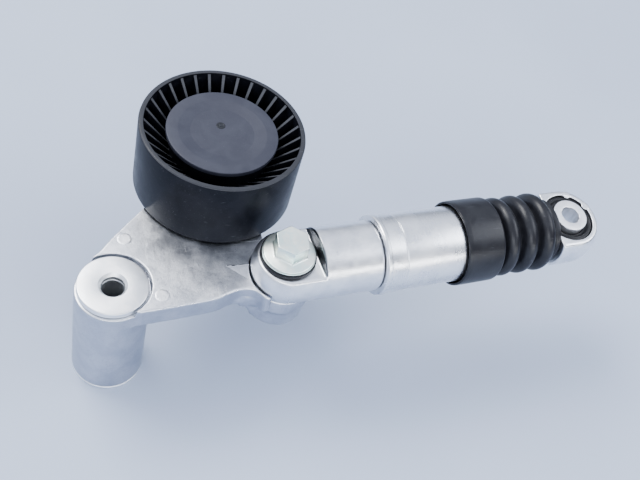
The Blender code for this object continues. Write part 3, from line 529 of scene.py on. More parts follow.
def cast_aluminium():
    """Die-cast skin: mottled grey, scuffed and scratched, with painted shade on upright walls, and
    convex edges lightened as rubbed wear and as a painted highlight."""
    look = Look("cast_aluminium_skin", Metallic=1.0)
    clouds = look.noise(0.09, 5, 0.6)
    blotches = look.spread(look.noise(0.22, 8, 0.68, distortion=0.6), 0.47, 0.62)
    flecks = look.spread(look.noise(1.5, 5, 0.7), 0.55, 0.7)
    scratch_a = look.spread(look.noise(1.0, 3, 0.6, look.stretched((0.05, 2.2, 1), (0, 0, 0.7))),
                            0.66, 0.72)
    scratch_b = look.spread(look.noise(1.0, 3, 0.6, look.stretched((1.9, 0.06, 1), (0, 0, 0.35))),
                            0.67, 0.73)
    scratches = look.math("MAXIMUM", scratch_a, scratch_b)
    color = look.tint(look.spread(clouds, 0.35, 0.65), (0.62, 0.64, 0.685), (0.80, 0.815, 0.85))
    color = look.over(color, blotches, 0.32, (0.50, 0.52, 0.57))
    color = look.over(color, flecks, 0.5, (0.30, 0.32, 0.37))
    color = look.over(color, scratches, 0.5, (0.88, 0.89, 0.92))
    # convex edges lightened: rubbed wear and a painted highlight
    color = look.over(color, look.wear_and_highlight(), 0.85, (0.93, 0.94, 0.96))
    # painted shade: upright walls are darkened towards blue-grey
    side = look.spread(look.math("ABSOLUTE", look.heading()[2]), 0.3, 0.8, 1.0, 0.0)
    color = look.over(color, side, 0.5, (0.36, 0.39, 0.47))
    for mark in PIN_MARKS:
        gap = look.math3("LENGTH", look.math3("SUBTRACT", look.mm, (*mark, PLATE_TOP)))
        face = look.spread(gap, PIN_MARK_R - 0.4, PIN_MARK_R, 1.0, 0.0)
        color = look.over(color, face, 0.6, (0.95, 0.955, 0.97))
    rough = look.plus(look.spread(clouds, 0.3, 0.7, 0.34, 0.48), look.wear_and_highlight(), -0.12)
    return look.finish(color, rough, (look.noise(0.35, 4, 0.6), 0.1), (look.noise(2.6, 4), 0.035),
                       (scratches, 0.02))


def machined_aluminium():
    """Turned aluminium: fine rings about the piece's Z axis, faint stains, and convex edges lightened
    as wear and as a painted highlight.
    """
    look = Look("machined_aluminium_satin", Metallic=1.0, Anisotropic=0.35)
    rings = look.noise(5.0, 2, 0.5, look.turned())
    bands = look.noise(0.35, 2, 0.5, look.turned())
    stains = look.noise(0.12, 5, 0.6)
    specks = look.spread(look.noise(2.2, 4, 0.7), 0.62, 0.72)
    color = look.tint(look.spread(stains, 0.35, 0.68), (0.84, 0.855, 0.885), (0.93, 0.94, 0.955))
    color = look.over(color, look.spread(bands, 0.4, 0.62), 0.25, (0.93, 0.94, 0.96))
    color = look.over(color, specks, 0.3, (0.45, 0.47, 0.5))
    # convex edges lightened: edge wear and a painted highlight
    color = look.over(color, look.wear_and_highlight(), 0.6, (0.96, 0.965, 0.98))
    rough = look.plus(look.spread(stains, 0.3, 0.7, 0.2, 0.28), rings, 0.1)
    return look.finish(color, rough, (rings, 0.018), (look.noise(0.4, 3), 0.03))


def milled_aluminium(name="machined_aluminium_milled", wall=None):
    """Forged and milled eye blocks: satin skin with long faint streaks along the bar. A wall across
    the bar at that distance, where a cutter ended, is painted dark as shade."""
    look = Look(name, Metallic=1.0, Anisotropic=0.2)
    streaks = look.noise(1.0, 4, 0.6, look.stretched((0.12, 2.4, 2.4)))
    stains = look.noise(0.14, 6, 0.62, distortion=0.3)
    specks = look.spread(look.noise(1.9, 5, 0.7), 0.6, 0.72)
    color = look.tint(look.spread(stains, 0.36, 0.66), (0.80, 0.815, 0.85), (0.92, 0.93, 0.95))
    color = look.over(color, look.spread(streaks, 0.45, 0.65), 0.28, (0.94, 0.945, 0.96))
    color = look.over(color, specks, 0.35, (0.42, 0.44, 0.48))
    # convex edges lightened: edge wear and a painted highlight
    color = look.over(color, look.wear_and_highlight(), 0.8, (0.97, 0.975, 0.985))
    if wall is not None:
        # painted shade: the shoulder wall above the flat is darkened where its shadow falls
        along, _, height = look.parts(look.mm)
        off_wall = look.math("ABSOLUTE", look.math("SUBTRACT", along, wall))
        painted_wall_shade = look.math("MULTIPLY", look.spread(off_wall, 0.3, 0.9, 1.0, 0.0),
                          look.spread(height, EYE_HALF_HEIGHT + 0.1, EYE_HALF_HEIGHT + 1))
        color = look.over(color, painted_wall_shade, 0.85, (0.10, 0.11, 0.13))
    rough = look.spread(stains, 0.3, 0.7, 0.27, 0.38)
    return look.finish(color, rough, (streaks, 0.03), (look.noise(0.5, 4), 0.05))


def bright_steel(name, base, accent, roughness):
    """Zinc-plated steel with fine turned rings and a thin uneven passivation tint."""
    look = Look(name, Metallic=1.0, Anisotropic=0.25)
    rings = look.noise(7.0, 2, 0.5, look.turned())
    film = look.noise(0.16, 4, 0.6, distortion=0.8)
    specks = look.spread(look.noise(2.5, 4, 0.7), 0.63, 0.74)
    color = look.tint(look.spread(film, 0.38, 0.64), base, accent)
    color = look.over(color, specks, 0.35, (0.42, 0.43, 0.42))
    rough = look.plus(look.spread(film, 0.3, 0.7, roughness, roughness + 0.1), rings, 0.08)
    return look.finish(color, rough, (rings, 0.012), (look.noise(0.6, 3), 0.02))


def spring_steel():
    look = Look("spring_steel_oiled", Metallic=1.0)
    film = look.noise(0.3, 5, 0.6)
    color = look.tint(look.spread(film, 0.35, 0.65), (0.12, 0.13, 0.16), (0.24, 0.25, 0.29))
    return look.finish(color, look.spread(film, 0.3, 0.7, 0.28, 0.5), (look.noise(3.0), 0.02))


def bronze():
    look = Look("bronze_sintered", Metallic=1.0)
    pores = look.spread(look.noise(3.0, 4, 0.7), 0.5, 0.7)
    color = look.tint(pores, (0.60, 0.42, 0.20), (0.30, 0.20, 0.10))
    return look.finish(color, look.spread(pores, 0, 1, 0.4, 0.6), (pores, 0.03))


def moulded(name, dark, light, roughness, grain=2.2, relief=0.03, sheen_heights=None, **sockets):
    """Moulded plastic or rubber: faint flow marks, fine grain, dust and a few pale scuffs. Faces
    that look up, between the two heights given, get a paler painted highlight."""
    look = Look(name, **sockets)
    flow = look.noise(0.1, 4, 0.6, distortion=0.6)
    fine = look.noise(grain, 4, 0.6)
    dust = look.spread(look.noise(3.4, 3, 0.6), 0.66, 0.74)
    scuffs = look.spread(look.noise(1.0, 4, 0.6, look.stretched((0.12, 1.6, 0.9), (0.3, 0.2, 0.5))),
                         0.62, 0.74)
    color = look.tint(look.spread(flow, 0.35, 0.66), dark, light)
    color = look.over(color, scuffs, 0.16, (0.30, 0.31, 0.34))
    color = look.over(color, dust, 0.22, (0.34, 0.35, 0.38))
    # painted highlight: faces that look up between the two heights, the pulley's rib tops, are lightened
    if sheen_heights:
        low, high = sheen_heights
        height = look.parts(look.mm)[2]
        share = look.math("MULTIPLY", look.spread(look.heading()[2], 0.5, 0.8),
                          look.spread(height, low, low + 0.5))
        share = look.math("MULTIPLY", share, look.spread(height, high - 0.45, high - 0.1, 1, 0.35))
        color = look.over(color, share, 0.75, (0.17, 0.175, 0.19))
    rough = look.spread(flow, 0.3, 0.7, roughness - 0.05, roughness + 0.05)
    rough = look.plus(rough, scuffs, 0.12)
    return look.finish(color, rough, (fine, relief), (flow, relief * 4))


def turned_plastic(name, dark, light, roughness):
    """Moulded plastic with the faint rings of a turned mould about the piece's Z axis."""
    look = Look(name)
    rings = look.noise(1.6, 3, 0.5, look.turned())
    flow = look.noise(0.12, 4, 0.6, distortion=0.5)
    fine = look.noise(2.6, 4, 0.6)
    dust = look.spread(look.noise(3.0, 3, 0.6), 0.65, 0.74)
    color = look.tint(look.spread(flow, 0.35, 0.66), dark, light)
    color = look.over(color, dust, 0.2, (0.30, 0.31, 0.34))
    rough = look.plus(look.spread(flow, 0.3, 0.7, roughness - 0.04, roughness + 0.05), rings, 0.06)
    return look.finish(color, rough, (rings, 0.02), (fine, 0.02))


def floor_material():
    look = Look("pale_floor")
    mottle = look.noise(0.004, 3)
    color = look.tint(look.spread(mottle, 0.3, 0.7), (0.46, 0.52, 0.64), (0.49, 0.55, 0.67))
    return look.finish(color, 0.7)


# ---- arm and pivot

def arm_distance(pulley, strut):
    """Distance to the casting, for pulley and strut bolt axes at those (x, y) in mm."""
    pulley_x, pulley_y = pulley
    strut_x, strut_y = strut
    front = [(4.0, -14.7), (18.0, -13.5), (29.5, -12.3), (40.4, -11.0), (45.0, -9.0), (50.2, -7.3),
             (55.0, -7.6), (58.0, -9.8), (60.0, -13.4)]
    side = [(63.0, -13.0), (66.0, -9.0), (64.0, -4.0), (66.3, 14.6)]
    boss = arc(pulley_x, pulley_y, PULLEY_BOSS_R + 1.0, -10, 135, 14)
    back = [(28.0, 49.0), (16.2, 37.5), (6.2, 27.8), (0.9, 22.2), (-3.1, 17.1), (-8.5, 12.8)]
    outline = soften(front + side + boss + back + [(0.0, 0.0)], 2)
    seat = arc(strut_x, strut_y, SEAT_R, -125, 110, 24) + [(52.0, 12.0), (52.0, -7.4)]
    foot_x = strut_x - STRUT_BOSS_R
    gusset = [(GUSSET_TOP_X, PLATE_LOW + 1), (foot_x, STRUT_BOSS_LOW + 3),
              (strut_x, STRUT_BOSS_LOW + 3), (strut_x, PLATE_LOW + 1)]

    def distance(x, y, z):
        around_strut = np.hypot(x - strut_x, y - strut_y)
        around_pulley = np.hypot(x - pulley_x, y - pulley_y)
        around_pivot = np.hypot(x, y)
        facet = WEDGE_SLOPE_X * (x - WEDGE_TIP_X) + WEDGE_SLOPE_Y * (y - WEDGE_TIP_Y)
        top = PLATE_TOP + np.maximum(0, np.minimum(facet, WEDGE_WALL_SLOPE * (WEDGE_TIP_Y - y)))
        for mark_x, mark_y in PIN_MARKS:
            gap = np.hypot(x - mark_x, y - mark_y)
            top = top + PIN_MARK_HEIGHT * np.clip((PIN_MARK_R - gap) / 0.5, 0, 1)
        plate = overlap(outline_distance(x, y, outline), PLATE_LOW - z, 1.2)
        boss_bar = overlap(around_pulley - PULLEY_BOSS_R, PULLEY_BOSS_LOW - z, 1.2)
        plate = join(plate, boss_bar, 2.5)
        plate = overlap(plate, (z - top) * 0.9, 0.9)
        plate = cut(plate, np.hypot(x - strut_x - EYE_CLEARANCE_SHIFT, y - strut_y)
                    - EYE_CLEARANCE_R, 0.3)
        pad = overlap(outline_distance(x, y, seat), np.abs(z - (SEAT_TOP + SEAT_LOW) / 2)
                      - (SEAT_TOP - SEAT_LOW) / 2, 0.8)
        web = overlap(outline_distance(x, z, gusset), np.abs(y) - GUSSET_HALF_WIDTH, 1.6)
        boss_low = overlap(around_strut - STRUT_BOSS_R, np.maximum(STRUT_BOSS_LOW - z,
                                                                   z - SEAT_TOP + 1), 3.2)
        solid = join(plate, pad, 1.2)
        solid = join(solid, join(web, boss_low, 3.0), 4.0)
        barrel = bar(x, y, z, BARREL_R, BARREL_LOW, BARREL_TOP, 1.1)
        solid = join(solid, barrel, 2.2)
        spot = np.maximum(around_pivot - SPOT_FACE_R, BARREL_TOP - z)
        solid = cut(solid, spot, 0.35)
        bore = np.minimum(around_pivot - BARREL_BORE_R,
                          np.maximum(around_pivot - SEAL_POCKET_R,
                                     np.minimum(z - BARREL_LOW, BARREL_TOP - z)
                                     - SEAL_POCKET_DEPTH))
        solid = cut(solid, bore, 0.5)
        solid = cut(solid, around_strut - STRUT_BOLT_HOLE_R, 0.5)
        return cut(solid, around_pulley - PULLEY_BOLT_HOLE_R, 0.5)

    return distance


def box_mm(node):
    """Lowest and highest corner of a CAD node, in millimetres."""
    low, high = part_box(node)
    return np.array(low) / MM, np.array(high) / MM


def build_arm(pulley_place, strut_bolt_place):
    low, high = box_mm("arm_casting")
    centers = [tuple(np.array(place.translation.xy) / MM)
               for place in (pulley_place, strut_bolt_place)]
    arm = sculpted("arm_body", arm_distance(*centers), low - 1.3, high + 1.3,
                   Matrix.Identity(4), cell=0.5)
    dress(arm, "arm", "cast_aluminium", "arm_casting")


def build_pivot():
    row = Matrix.Identity(4)
    low, high = box_mm("pivot_head_washer")
    disc_r, disc_low, disc_high = high[0], low[2], high[2]
    chamfer = COUNTERSINK_R - PIVOT_BORE_R
    disc = rounded([(PIVOT_BORE_R, disc_low, 0), (disc_r, disc_low, 0.5),
                    (disc_r, disc_high, 0.55), (COUNTERSINK_R, disc_high, 0.15),
                    (PIVOT_BORE_R + 0.2, disc_high - chamfer, 0.2)])
    dress(turned("pivot_disc", disc, row), "pivot", "bright_steel", "pivot_head_washer")
    sleeve = rounded([(PIVOT_BORE_R, 0, 0.4), (PIVOT_SLEEVE_R, 0, 0.5),
                      (PIVOT_SLEEVE_R, PIVOT_SLEEVE_TOP, 0.5),
                      (PIVOT_BORE_R, PIVOT_SLEEVE_TOP, 0.3)])
    dress(turned("pivot_tube", sleeve, row), "pivot", "bright_steel", "pivot_sleeve")
    low, high = box_mm("pivot_end_ring")
    ring = rounded([(PIVOT_SLEEVE_R + 0.3, low[2], 0.2), (high[0], low[2], 0.35),
                    (high[0], high[2], 0.35), (PIVOT_SLEEVE_R + 0.3, high[2], 0.2)])
    dress(turned("pivot_thrust_ring", ring, row), "pivot", "bright_steel", "pivot_end_ring")


# ---- pulley

def pulley_cells():
    """The pulley's section as polygons that share edges: (points, solid only where a rib is)."""
    rim_rib_low = PULLEY_LOW + RIB_DROP_AT_RIM
    rim_rib_high = PULLEY_HIGH - RIB_DROP_AT_RIM
    hub_rib_low = PULLEY_LOW + RIB_DROP_AT_HUB
    hub_rib_high = PULLEY_HIGH - RIB_DROP_AT_HUB
    edge = [(PULLEY_R - 0.7 + 0.7 * math.sin(a), PULLEY_HIGH - 0.7 + 0.7 * math.cos(a))
            for a in np.radians((90, 60, 30, 0))]
    foot = [(r, PULLEY_LOW + PULLEY_HIGH - z) for r, z in reversed(edge)]
    rim = [(RIM_INNER_R, PULLEY_LOW)] + foot + edge + [
        (RIM_INNER_R, PULLEY_HIGH), (RIM_INNER_R, rim_rib_high), (RIM_INNER_R, WEB_HIGH),
        (RIM_INNER_R, WEB_LOW), (RIM_INNER_R, rim_rib_low)]
    hub = [(HUB_LIP_R, HUB_LOW), (HUB_OUTER_R, HUB_LOW), (HUB_OUTER_R, hub_rib_low),
           (HUB_OUTER_R, WEB_LOW), (HUB_OUTER_R, WEB_HIGH), (HUB_OUTER_R, hub_rib_high),
           (HUB_OUTER_R, HUB_HIGH), (HUB_SEAT_R, HUB_HIGH), (HUB_SEAT_R, BEARING_SEAT),
           (HUB_LIP_R, BEARING_SEAT)]
    web = [(HUB_OUTER_R, WEB_LOW), (RIM_INNER_R, WEB_LOW), (RIM_INNER_R, WEB_HIGH),
           (HUB_OUTER_R, WEB_HIGH)]
    upper_rib = [(HUB_OUTER_R, WEB_HIGH), (RIM_INNER_R, WEB_HIGH), (RIM_INNER_R, rim_rib_high),
                 (HUB_OUTER_R, hub_rib_high)]
    lower_rib = [(HUB_OUTER_R, hub_rib_low), (RIM_INNER_R, rim_rib_low), (RIM_INNER_R, WEB_LOW),
                 (HUB_OUTER_R, WEB_LOW)]
    return [(rim, False), (hub, False), (web, False), (upper_rib, True), (lower_rib, True)]


def build_pulley(place):
    """Rim, web, hub and ribs as one moulding, with every edge slightly rounded."""
    cells = pulley_cells()
    pitch = 2 * math.pi / RIB_COUNT
    rib_half = math.asin(RIB_THICKNESS / (HUB_OUTER_R + RIM_INNER_R))
    pocket_steps = 6
    angles = []
    for k in range(RIB_COUNT):
        angles.append(k * pitch - rib_half)
        angles += [k * pitch + rib_half + (pitch - 2 * rib_half) * s / pocket_steps
                   for s in range(pocket_steps)]
    bm = bmesh.new()
    vertices = {}

    def vertex(point, slab):
        key = (point, slab % len(angles))
        if key not in vertices:
            angle = angles[key[1]]
            vertices[key] = bm.verts.new((point[0] * math.cos(angle) * MM,
                                          point[0] * math.sin(angle) * MM, point[1] * MM))
        return vertices[key]

    for slab in range(len(angles)):
        in_rib = slab % (pocket_steps + 1) == 0
        solid = [points for points, rib_only in cells if in_rib or not rib_only]
        edges = {(a, b) for points in solid for a, b in zip(points, points[1:] + points[:1])}
        for a, b in sorted(edges):
            if (b, a) not in edges:
                bm.faces.new([vertex(a, slab), vertex(a, slab + 1), vertex(b, slab + 1),
                              vertex(b, slab)])
        if in_rib:
            for points, rib_only in cells:
                if rib_only:
                    bm.faces.new([vertex(point, slab) for point in points])
                    bm.faces.new([vertex(point, slab + 1) for point in reversed(points)])
    bmesh.ops.recalc_face_normals(bm, faces=bm.faces)
    mesh = bpy.data.meshes.new("pulley_shell")
    bm.to_mesh(mesh)
    bm.free()
    mesh.shade_smooth()
    mesh.set_sharp_from_angle(angle=math.radians(32))
    pulley = add_object("pulley_shell", mesh, place)
    bevel = pulley.modifiers.new("soft_edges", "BEVEL")
    bevel.width = 0.16 * MM
    bevel.segments = 2
    bevel.limit_method = "ANGLE"
    bevel.angle_limit = math.radians(40)
    bevel.harden_normals = True
    dress(pulley, "pulley", "pulley_plastic", "pulley_wheel")


def build_dust_cap(place):
    """A lid with a flat rim, a shallow dish in its middle and the moulding gate's mark."""
    skirt_low = CAP_LOW - CAP_SKIRT_DROP
    underside = CAP_LOW + 0.4
    dish = CAP_TOP - CAP_DISH_DEPTH
    lid = rounded([(0, underside, 0), (CAP_SKIRT_R - 1.4, underside, 0.3),
                   (CAP_SKIRT_R - 1.4, skirt_low, 0.3), (CAP_SKIRT_R, skirt_low, 0.3),
                   (CAP_SKIRT_R, CAP_LOW, 0.2), (CAP_R, CAP_LOW, 0.3), (CAP_R, CAP_TOP, 0.45),
                   (CAP_DISH_R, CAP_TOP, 1.6), (CAP_DISH_FLOOR_R, dish, 1.6), (0, dish, 0)])
    dress(turned("dust_cap_lid", lid, place, 192), "pulley", "cap_plastic", "pulley_dust_cap")
    gate = rounded([(0, dish - 0.2, 0), (1.9, dish - 0.2, 0), (1.9, dish + 0.12, 0.1),
                    (1.2, dish + 0.12, 0.08), (1.1, dish + 0.04, 0.05), (0.75, dish + 0.04, 0.05),
                    (0.7, dish + 0.2, 0.08), (0, dish + 0.2, 0)])
    gate_place = place @ Matrix.Translation((0, GATE_OFFSET * MM, 0))
    dress(turned("dust_cap_gate", gate, gate_place, 48), "pulley", "cap_plastic", look="gate")


# ---- strut

def housing_distance(u, v, w):
    """Lower eye and body of the strut: a ball-ended bar with two milled flats."""
    dome = np.minimum(u, 0) * (HOUSING_R / HOUSING_DOME_REACH)
    solid = np.sqrt(dome ** 2 + v ** 2 + w ** 2) - HOUSING_R
    solid = overlap(solid, u - HOUSING_END_U, 0.9)
    keep = join(np.abs(w) - EYE_HALF_HEIGHT, SHOULDER_U - u, 1.0)
    solid = overlap(solid, keep, 0.9)
    solid = join(solid, bar(v, w, u, SPIGOT_R, HOUSING_END_U - 1, SPIGOT_END_U), 0.3)
    solid = cut(solid, np.maximum(np.hypot(v, w) - OIL_BORE_R, OIL_BORE_FLOOR_U - u), 0.4)
    return cut(solid, np.hypot(u, v) - LOWER_BUSH_R - 0.3, 0.6)


def build_strut_body(strut_place, along_place):
    reach = HOUSING_R + 1
    eye = sculpted("strut_eye_body", housing_distance, (-reach, -reach, -reach),
                   (SPIGOT_END_U + 1, reach, reach), strut_place, cell=0.36)
    dress(eye, "strut", "machined_aluminium", "strut_housing", look="milled_wall")
    body_r = COLLAR_R - 0.4
    tube = rounded([(TUBE_INNER_R, TUBE_START_U, 0.2), (COLLAR_R - 0.4, TUBE_START_U, 0.3),
                    (COLLAR_R, TUBE_START_U + 0.6, 0.4), (COLLAR_R, TUBE_START_U + 1.9, 0.3),
                    (body_r, TUBE_START_U + 2.3, 0.3), (body_r, COLLAR_END_U - 0.5, 0.2),
                    (TUBE_R - 0.25, COLLAR_END_U, 0.15), (TUBE_R - 0.25, COLLAR_END_U + 0.3, 0.1),
                    (TUBE_R, COLLAR_END_U + 0.5, 0.15), (TUBE_R, TUBE_END_U, 0.5),
                    (TUBE_INNER_R, TUBE_END_U, 0.3)], 4)
    dress(turned("strut_outer_tube", tube, along_place, 192), "strut", "machined_aluminium",
          "strut_tube")


def build_lower_bush(place):
    low, high = box_mm("strut_lower_bush")
    eye_z = place.translation.z / MM
    lip_low, lip_high = eye_z + EYE_HALF_HEIGHT + 0.2, high[2]
    lip_r = (high[0] - low[0]) / 2
    bush = rounded([(LOWER_BUSH_BORE_R, low[2], 0.3), (LOWER_BUSH_R, low[2], 0.3),
                    (LOWER_BUSH_R, lip_low, 0), (lip_r, lip_low, 0.25), (lip_r, lip_high, 0.35),
                    (LOWER_BUSH_BORE_R, lip_high, 0.3)])
    bush = [(r, z - eye_z) for r, z in bush]
    dress(turned("strut_bush_rubber", bush, place), "strut", "black_rubber", "strut_lower_bush")


def bolt_head_distance(flange_r, low, high):
    """Hexagon head with a turned chamfer, on a round flange whose top slopes."""
    half = BOLT_ACROSS_FLATS / 2
    shoulder = low + BOLT_FLANGE_HEIGHT

    def distance(x, y, z):
        hexagon = np.maximum.reduce([np.abs(x * math.cos(a) + y * math.sin(a)) + 0 * z
                                     for a in np.radians((30, 90, 150))]) - half
        radius = np.hypot(x, y)
        head = overlap(overlap(hexagon, z - high, 0.35), low + 0.2 - z, 0.2)
        head = overlap(head, (radius - half + (z - high - 0.5) * 1.7) * 0.5, 0.3)
        flange = overlap(radius - flange_r, low - z, 0.5)
        slope = (z - shoulder + (radius - half) * 0.22) * 0.97
        flange = overlap(flange, slope, 0.5)
        return join(head, flange, 0.9)

    return distance


def build_strut_bolt():
    low, high = box_mm("strut_bolt")
    center = (low + high) / 2
    washer_low, washer_high = box_mm("strut_bolt_washer")
    flange_r = (high[0] - low[0]) / 2
    flange_low = washer_high[2] + 0.2
    place = (Matrix.Translation((center[0] * MM, center[1] * MM, 0))
             @ Matrix.Rotation(BOLT_HEAD_TURN, 4, "Z"))
    head = bolt_head_distance(flange_r, flange_low, high[2])
    margin = flange_r + 0.6
    bolt = sculpted("strut_bolt_head", head, (-margin, -margin, flange_low - 0.6),
                    (margin, margin, high[2] + 0.6), place, cell=0.22)
    shank = rounded([(0, low[2], 0), (BOLT_SHANK_R, low[2], 0.5),
                     (BOLT_SHANK_R, flange_low + 0.5, 0), (0, flange_low + 0.5, 0)])
    stem = turned("strut_bolt_shank", shank, place, 64)
    dress(bolt, "arm", "zinc_plated_steel", "strut_bolt")
    dress(stem, "arm", "zinc_plated_steel")
    washer_r = (washer_high[0] - washer_low[0]) / 2
    washer = rounded([(STRUT_BOLT_HOLE_R, washer_low[2], 0.1), (washer_r, washer_low[2], 0.25),
                      (washer_r, washer_high[2], 0.2), (STRUT_BOLT_HOLE_R, washer_high[2], 0.1)])
    dress(turned("strut_washer", washer, place), "arm", "zinc_plated_steel", "strut_bolt_washer")


def bellows_radius(u):
    """Outer radius of the folds: round crests with narrow grooves between them."""
    half = CREST_PITCH / 2 - GROOVE_HALF_WIDTH
    radius = GROOVE_R
    for k in range(CREST_COUNT):
        gap = (u - FIRST_CREST_U - k * CREST_PITCH) / half
        if abs(gap) < 1:
            radius = GROOVE_R + (CREST_R - GROOVE_R) * (1 - gap ** 2) ** 0.5
    return radius


def build_bellows(place):
    """Rubber boot: open cuff over the tube, three folds, and a collar on the eye's neck."""
    step = 0.35
    start = CUFF_END_U + 0.1
    stop = FIRST_CREST_U + (CREST_COUNT - 1) * CREST_PITCH + CREST_PITCH / 2 - 0.3
    count = int((stop - start) / step)
    stations = [start + (stop - start) * k / count for k in range(count + 1)]
    raw = [bellows_radius(u) for u in stations]
    smooth = [(raw[max(k - 1, 0)] + 2 * r + raw[min(k + 1, count)]) / 4
              for k, r in enumerate(raw)]
    folds = list(zip(smooth, stations))
    mouth_end = CUFF_START_U + CUFF_MOUTH_LENGTH
    cuff = rounded([(CUFF_BORE_R, mouth_end, 0), (CUFF_MOUTH_R, CUFF_START_U, 0.35),
                    (CUFF_R - 0.15, CUFF_START_U, 0.5), (CUFF_R, CUFF_START_U + 2.2, 0.8),
                    (CUFF_R - 0.1, CUFF_END_U - 0.9, 1.4), (GROOVE_R + 0.4, CUFF_END_U, 0)], 6)
    cuff = cuff[1:-1]  # the end corners only guide the fillets
    collar = [(BELLOWS_COLLAR_R - 0.3, stop + 0.2), (BELLOWS_COLLAR_R, stop + 0.6),
              (BELLOWS_COLLAR_R, BELLOWS_END_U - 0.5), (BELLOWS_COLLAR_R - 0.5, BELLOWS_END_U)]
    neck = EYE_NECK_R + 0.3
    inner = [(neck, BELLOWS_END_U), (neck, stop)]
    inner += [(r - BELLOWS_WALL, u) for r, u in reversed(folds)]
    inner += [(CUFF_BORE_R, CUFF_END_U - BELLOWS_WALL), (CUFF_BORE_R, mouth_end)]
    boot = turned("rubber_bellows", cuff + folds + collar + inner, place, 144)
    bridge(boot, "bellows_rubber", "bellows")


def build_main_spring(place):
    """Coil spring inside the bellows."""
    per_turn, sides = 40, 12
    count = SPRING_TURNS * per_turn
    length = SPRING_END_U - SPRING_START_U
    slope = length / (2 * math.pi * SPRING_TURNS * SPRING_MEAN_R)
    vertices, faces = [], []
    for k in range(count + 1):
        angle = 2 * math.pi * k / per_turn
        outward = Vector((math.cos(angle), math.sin(angle), 0))
        forward = Vector((-math.sin(angle), math.cos(angle), slope)).normalized()
        upward = outward.cross(forward)
        center = outward * SPRING_MEAN_R + Vector((0, 0, SPRING_START_U + length * k / count))
        for side in range(sides):
            turn = 2 * math.pi * side / sides
            vertices.append(center + (outward * math.cos(turn) + upward * math.sin(turn))
                            * SPRING_WIRE_R)
        if k:
            for side in range(sides):
                after = (side + 1) % sides
                a, b = (k - 1) * sides, k * sides
                faces.append((a + side, b + side, b + after, a + after))
    faces.append(tuple(range(sides)))
    faces.append(tuple(reversed(range(count * sides, (count + 1) * sides))))
    coil = new_piece("coil_spring", vertices, faces, place)
    bridge(coil, "spring_steel", "main_spring")


# ---- upper eye

def upper_eye_distance(x, y, z):
    """Ball-ended block with two flats, staked over its rubber bush, on a round neck."""
    solid = np.where(x > 0, np.sqrt(x ** 2 + y ** 2 + z ** 2), np.hypot(y, z)) - UPPER_EYE_R
    solid = overlap(solid, UPPER_EYE_START - x, 1.2)
    solid = overlap(solid, np.abs(z) - UPPER_EYE_HALF_HEIGHT, 0.9)
    neck = bar(y, z, x, EYE_NECK_R, UPPER_NECK_START, UPPER_EYE_START + 1)
    solid = join(solid, neck, 0.5)
    solid = cut(solid, np.maximum(np.hypot(y, z) - ROD_SOCKET_R, x - ROD_SOCKET_END), 0.4)
    solid = cut(solid, np.hypot(x, y) - UPPER_RUBBER_R - 0.3, 0.5)
    for degrees in STAKES_DEG:
        angle = math.radians(degrees)
        across = np.hypot(x - STAKE_CIRCLE_R * math.cos(angle),
                          y - STAKE_CIRCLE_R * math.sin(angle))
        along = np.abs(np.abs(z) - STAKE_HEIGHT) - STAKE_HALF_THICKNESS
        solid = join(solid, overlap(across - STAKE_R, along, 0.4), 0.5)
    return solid


def build_upper_eye(place):
    reach = UPPER_EYE_R + 1
    height = UPPER_EYE_HALF_HEIGHT + 1.3
    eye = sculpted("rod_end_eye", upper_eye_distance, (UPPER_NECK_START - 1, -reach, -height),
                   (reach, reach, height), place, cell=0.36)
    dress(eye, "eye", "machined_aluminium", "upper_eye", look="milled")
    inner = UPPER_SLEEVE_R + 0.3
    half = UPPER_EYE_HALF_HEIGHT - 0.3
    side = [(inner, half - 1.4, 0.2), (inner + 0.9, half - 1.3, 0.4), (10.6, half, 0.6),
            (11.4, half - 0.5, 0.3), (UPPER_RUBBER_R, half - 0.7, 0.3)]
    rubber = rounded([(r, -z, f) for r, z, f in side] + side[::-1])
    dress(turned("eye_rubber", rubber, place), "eye", "black_rubber", "upper_eye_rubber")


def build_upper_sleeve(place):
    """Steel sleeve whose bore is crimped slightly out of round at its ends."""
    half = UPPER_SLEEVE_HALF_LENGTH
    sleeve = rounded([(UPPER_SLEEVE_BORE_R, -half, 0.35), (UPPER_SLEEVE_R, -half, 0.4),
                      (UPPER_SLEEVE_R, half, 0.4), (UPPER_SLEEVE_BORE_R, half, 0.35)])

    def crimp(angle, radius):
        if radius > UPPER_SLEEVE_BORE_R + 0.6:
            return 1.0
        return 1 - 0.05 * math.cos(3 * angle - 0.6) ** 8

    dress(turned("eye_sleeve_tube", sleeve, place, 144, crimp), "eye_sleeve", "bright_steel",
          "upper_eye_sleeve", look="sleeve")


# ---- CAD nodes that stay

def paint_nodes():
    """Give every CAD node that stays its procedural material, by the record's slot."""
    for row in frame["record"]["subparts"]:
        node = frame["nodes"][row["node"]]
        node.data.materials.clear()
        node.data.materials.append(looks[row["material_slot"]])


# ---- stage

